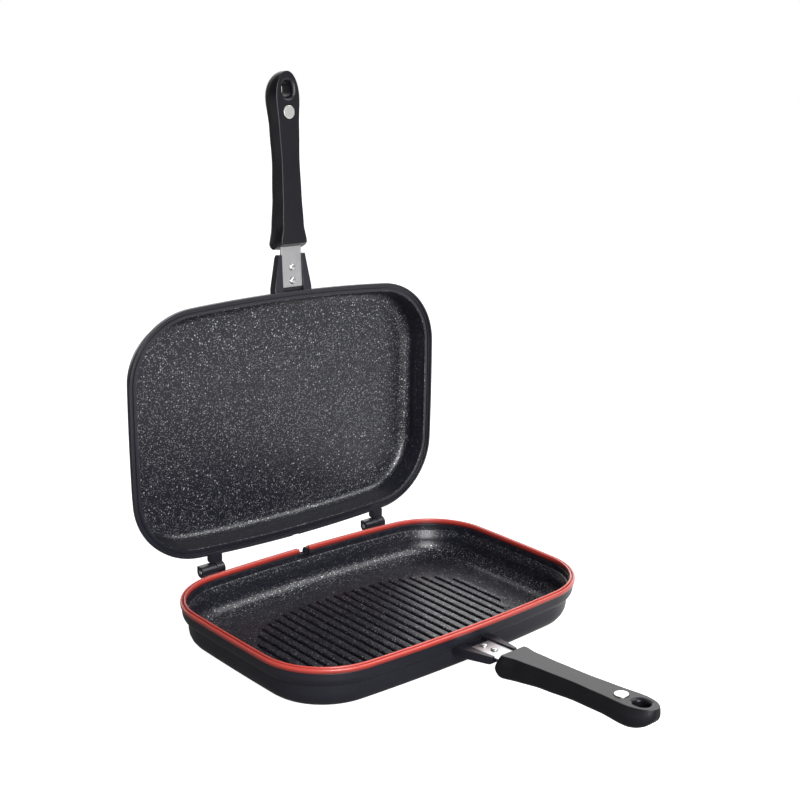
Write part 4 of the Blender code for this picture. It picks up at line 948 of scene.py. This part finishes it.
def make_strap():
    """The strap and its narrower tang, in the handle frame."""
    right = [(STRAP_HALF_WIDTH, STRAP_START, STRAP_ROUNDING), (STRAP_HALF_WIDTH, STRAP_END, STRAP_ROUNDING),
             (TANG_HALF_WIDTH, STRAP_END, 0), (TANG_HALF_WIDTH, TANG_END, STRAP_ROUNDING)]
    left = [(-across, along, rounding) for across, along, rounding in right[::-1]]
    mesh = slab(left[-1:] + right + left[:-1], -STRAP_THICKNESS, 0, edge=0.0002, steps=3)
    turn = Matrix(((0, 1, 0), (0, 0, 1), (1, 0, 0))).to_4x4()
    bmesh.ops.transform(mesh, matrix=turn, verts=mesh.verts)
    bmesh.ops.recalc_face_normals(mesh, faces=mesh.faces)
    return mesh


def make_rivet(place):
    """A rivet with a domed head on the strap and a flat tail under the bracket."""
    corners = [(0, 0.0019, 0), (0.0026, 0.0017, 0.0012), (0.0035, 0.0003, 0.0003), (0.0020, 0.0002, 0),
               (0.0020, -0.0049, 0), (0.0032, -0.0049, 0), (0.0032, -0.0059, 0.0003), (0, -0.0059, 0)]
    return lathe(corners, Matrix.Translation((0, place, 0)), 32)


def make_magnet():
    """A disc magnet that stands a little proud of the flat face."""
    top = STRAP_DROP + MAGNET_PROUD
    back = top - MAGNET_THICKNESS
    corners = [(0, top, 0), (MAGNET_RADIUS, top, 0.0003), (MAGNET_RADIUS, back, 0), (0, back, 0)]
    return lathe(corners, Matrix.Translation((0, MAGNET_PLACE, 0)), 48)


def fit_handle(side):
    """All fittings of one half, moved into its handle line."""
    body = bodies[side]
    fittings = [("grip", make_grip(), phenolic, "bakelite", "handle"),
                ("strap_bar", make_strap(), steel, "steel", "strap"),
                ("rivet_near_pan", make_rivet(RIVET_PLACES[0]), steel, "steel", "rivet_inner"),
                ("rivet_near_grip", make_rivet(RIVET_PLACES[1]), steel, "steel", "rivet_outer"),
                ("magnet_disc", make_magnet(), nickel, "magnet", "magnet")]
    for name, mesh, material, slot, node in fittings:
        bmesh.ops.transform(mesh, matrix=line_frames[side], verts=mesh.verts)
        finish_piece(f"{side}_{name}", mesh, [material], body, [f"{side}_{node}"])


for side in ("lower", "upper"):
    fit_handle(side)

# %% [markdown]
# ## Hinge pins and screws
# The pins are short turned bars whose ends show at the sides of the hinges. The two handle screws sit deep in
# their holes at the back, where the CAD shape is fine enough, so they only get the steel finish.

# %% Pins and screws
PIN_RADIUS = 0.0020
PIN_PROUD = 0.0003


def make_pin(start):
    """A pin along X with rounded ends, which stand a little proud of the hinge."""
    place = Matrix.Translation((start, hinge_axis.y, hinge_axis.z)) @ Matrix.Rotation(math.pi / 2, 4, "Y")
    return rod(PIN_RADIUS, -PIN_PROUD, HINGE_LENGTH + PIN_PROUD, 0.0004, place, 28)


for side, start in zip(("left", "right"), HINGE_STARTS):
    finish_piece(f"{side}_pin_bar", make_pin(start), [steel], "lower_half", [f"hinge_pin_{side}"])

for side in ("lower", "upper"):
    screw = frame["nodes"][f"{side}_handle_screw"]
    screw.data.materials.clear()
    screw.data.materials.append(steel)

# %% [markdown]
# ## Table and light
# The photograph is a studio picture on white. Table and world look white to the camera, but the pan itself sees
# something else: in reflections the table is bright only at the right and at the front left and dark between
# them, and the world is a dim room with a bright backdrop behind the pan, to its right. One softbox hangs high at
# the front right, and a taller and brighter one stands behind the camera, a little to its right.

# %% Table
TABLE_HEIGHT = -0.0005
TABLE_HALF_SIZE = 6


def ray(signal, kind):
    """One for rays of a kind, such as Camera or Glossy, and nought for all others."""
    return signal.node("ShaderNodeLightPath", output=f"Is {kind} Ray")


def make_table():
    """A large plane just under the pan: white to the camera, grey to light, and mostly dark in reflections."""
    mesh = bmesh.new()
    bmesh.ops.create_grid(mesh, x_segments=1, y_segments=1, size=TABLE_HALF_SIZE,
                          matrix=Matrix.Translation((0, 0, TABLE_HEIGHT)))
    data = bpy.data.meshes.new("table")
    mesh.to_mesh(data)
    mesh.free()
    table = bpy.data.objects.new("table", data)
    bpy.context.scene.collection.objects.link(table)
    material, shader, place = new_finish("white_table")
    reflected = place.math("MAXIMUM", ray(place, "Glossy"), ray(place, "Transmission"))
    x, y = place.part("X"), place.part("Y")
    lit = place.math("MAXIMUM", x.between(-0.05, 0.40), (x + y * 0.6).between(-0.35, -0.60))
    pale = (1 - reflected * (1 - lit) * 0.8) * (noise(place, 8) * 0.04 + 0.96)
    feed(shader, base_color=pale.tint((0, 0, 0), (0.45, 0.45, 0.45)), roughness=0.9)
    glow = place.node("ShaderNodeEmission", None,
                      {"Strength": ray(place, "Camera") * 0.95 + reflected * (lit * 0.75 + 0.05)})
    tree = material.node_tree
    both = place.node("ShaderNodeAddShader", None, {0: Signal(tree, shader.outputs[0]), 1: glow})
    tree.links.new(both.socket, tree.nodes["Material Output"].inputs["Surface"])
    data.materials.append(material)


make_table()

# %% World and lamps
BACKDROP_DIRECTION = (0.55, 0.80, 0.20)


def make_world(room, backdrop):
    """White to the camera. All else sees a dim room with a bright backdrop behind the pan, to its right."""
    world = bpy.data.worlds.new("studio")
    world.use_nodes = True
    bpy.context.scene.world = world
    tree = world.node_tree
    towards = Signal(tree).node("ShaderNodeTexCoord", output="Generated")
    level = towards.along(BACKDROP_DIRECTION).between(0.40, 0.88) * (backdrop - room) + room
    direct = ray(towards, "Camera")
    strength = level * (1 - direct) + direct
    sky = towards.node("ShaderNodeBackground", None, {"Color": (1, 1, 1, 1), "Strength": strength})
    tree.links.new(sky.socket, tree.nodes["World Output"].inputs["Surface"])


def make_lamp(name, place, target, size, power):
    """A rectangular area lamp that looks at a target."""
    light = bpy.data.lights.new(name, "AREA")
    light.shape = "RECTANGLE"
    light.size, light.size_y = size
    light.energy = power
    lamp = bpy.data.objects.new(name, light)
    bpy.context.scene.collection.objects.link(lamp)
    sight = Vector(target) - Vector(place)
    lamp.matrix_world = Matrix.Translation(place) @ sight.to_track_quat("-Z", "Y").to_matrix().to_4x4()


make_world(room=0.04, backdrop=2.3)
make_lamp("top_softbox", place=(0.78, -0.60, 1.27), target=(0, 0, 0), size=(0.8, 0.8), power=13)
make_lamp("key_softbox", place=(-0.60, -1.54, 0.78), target=(0, 0.05, 0.1), size=(0.7, 1.4), power=56)
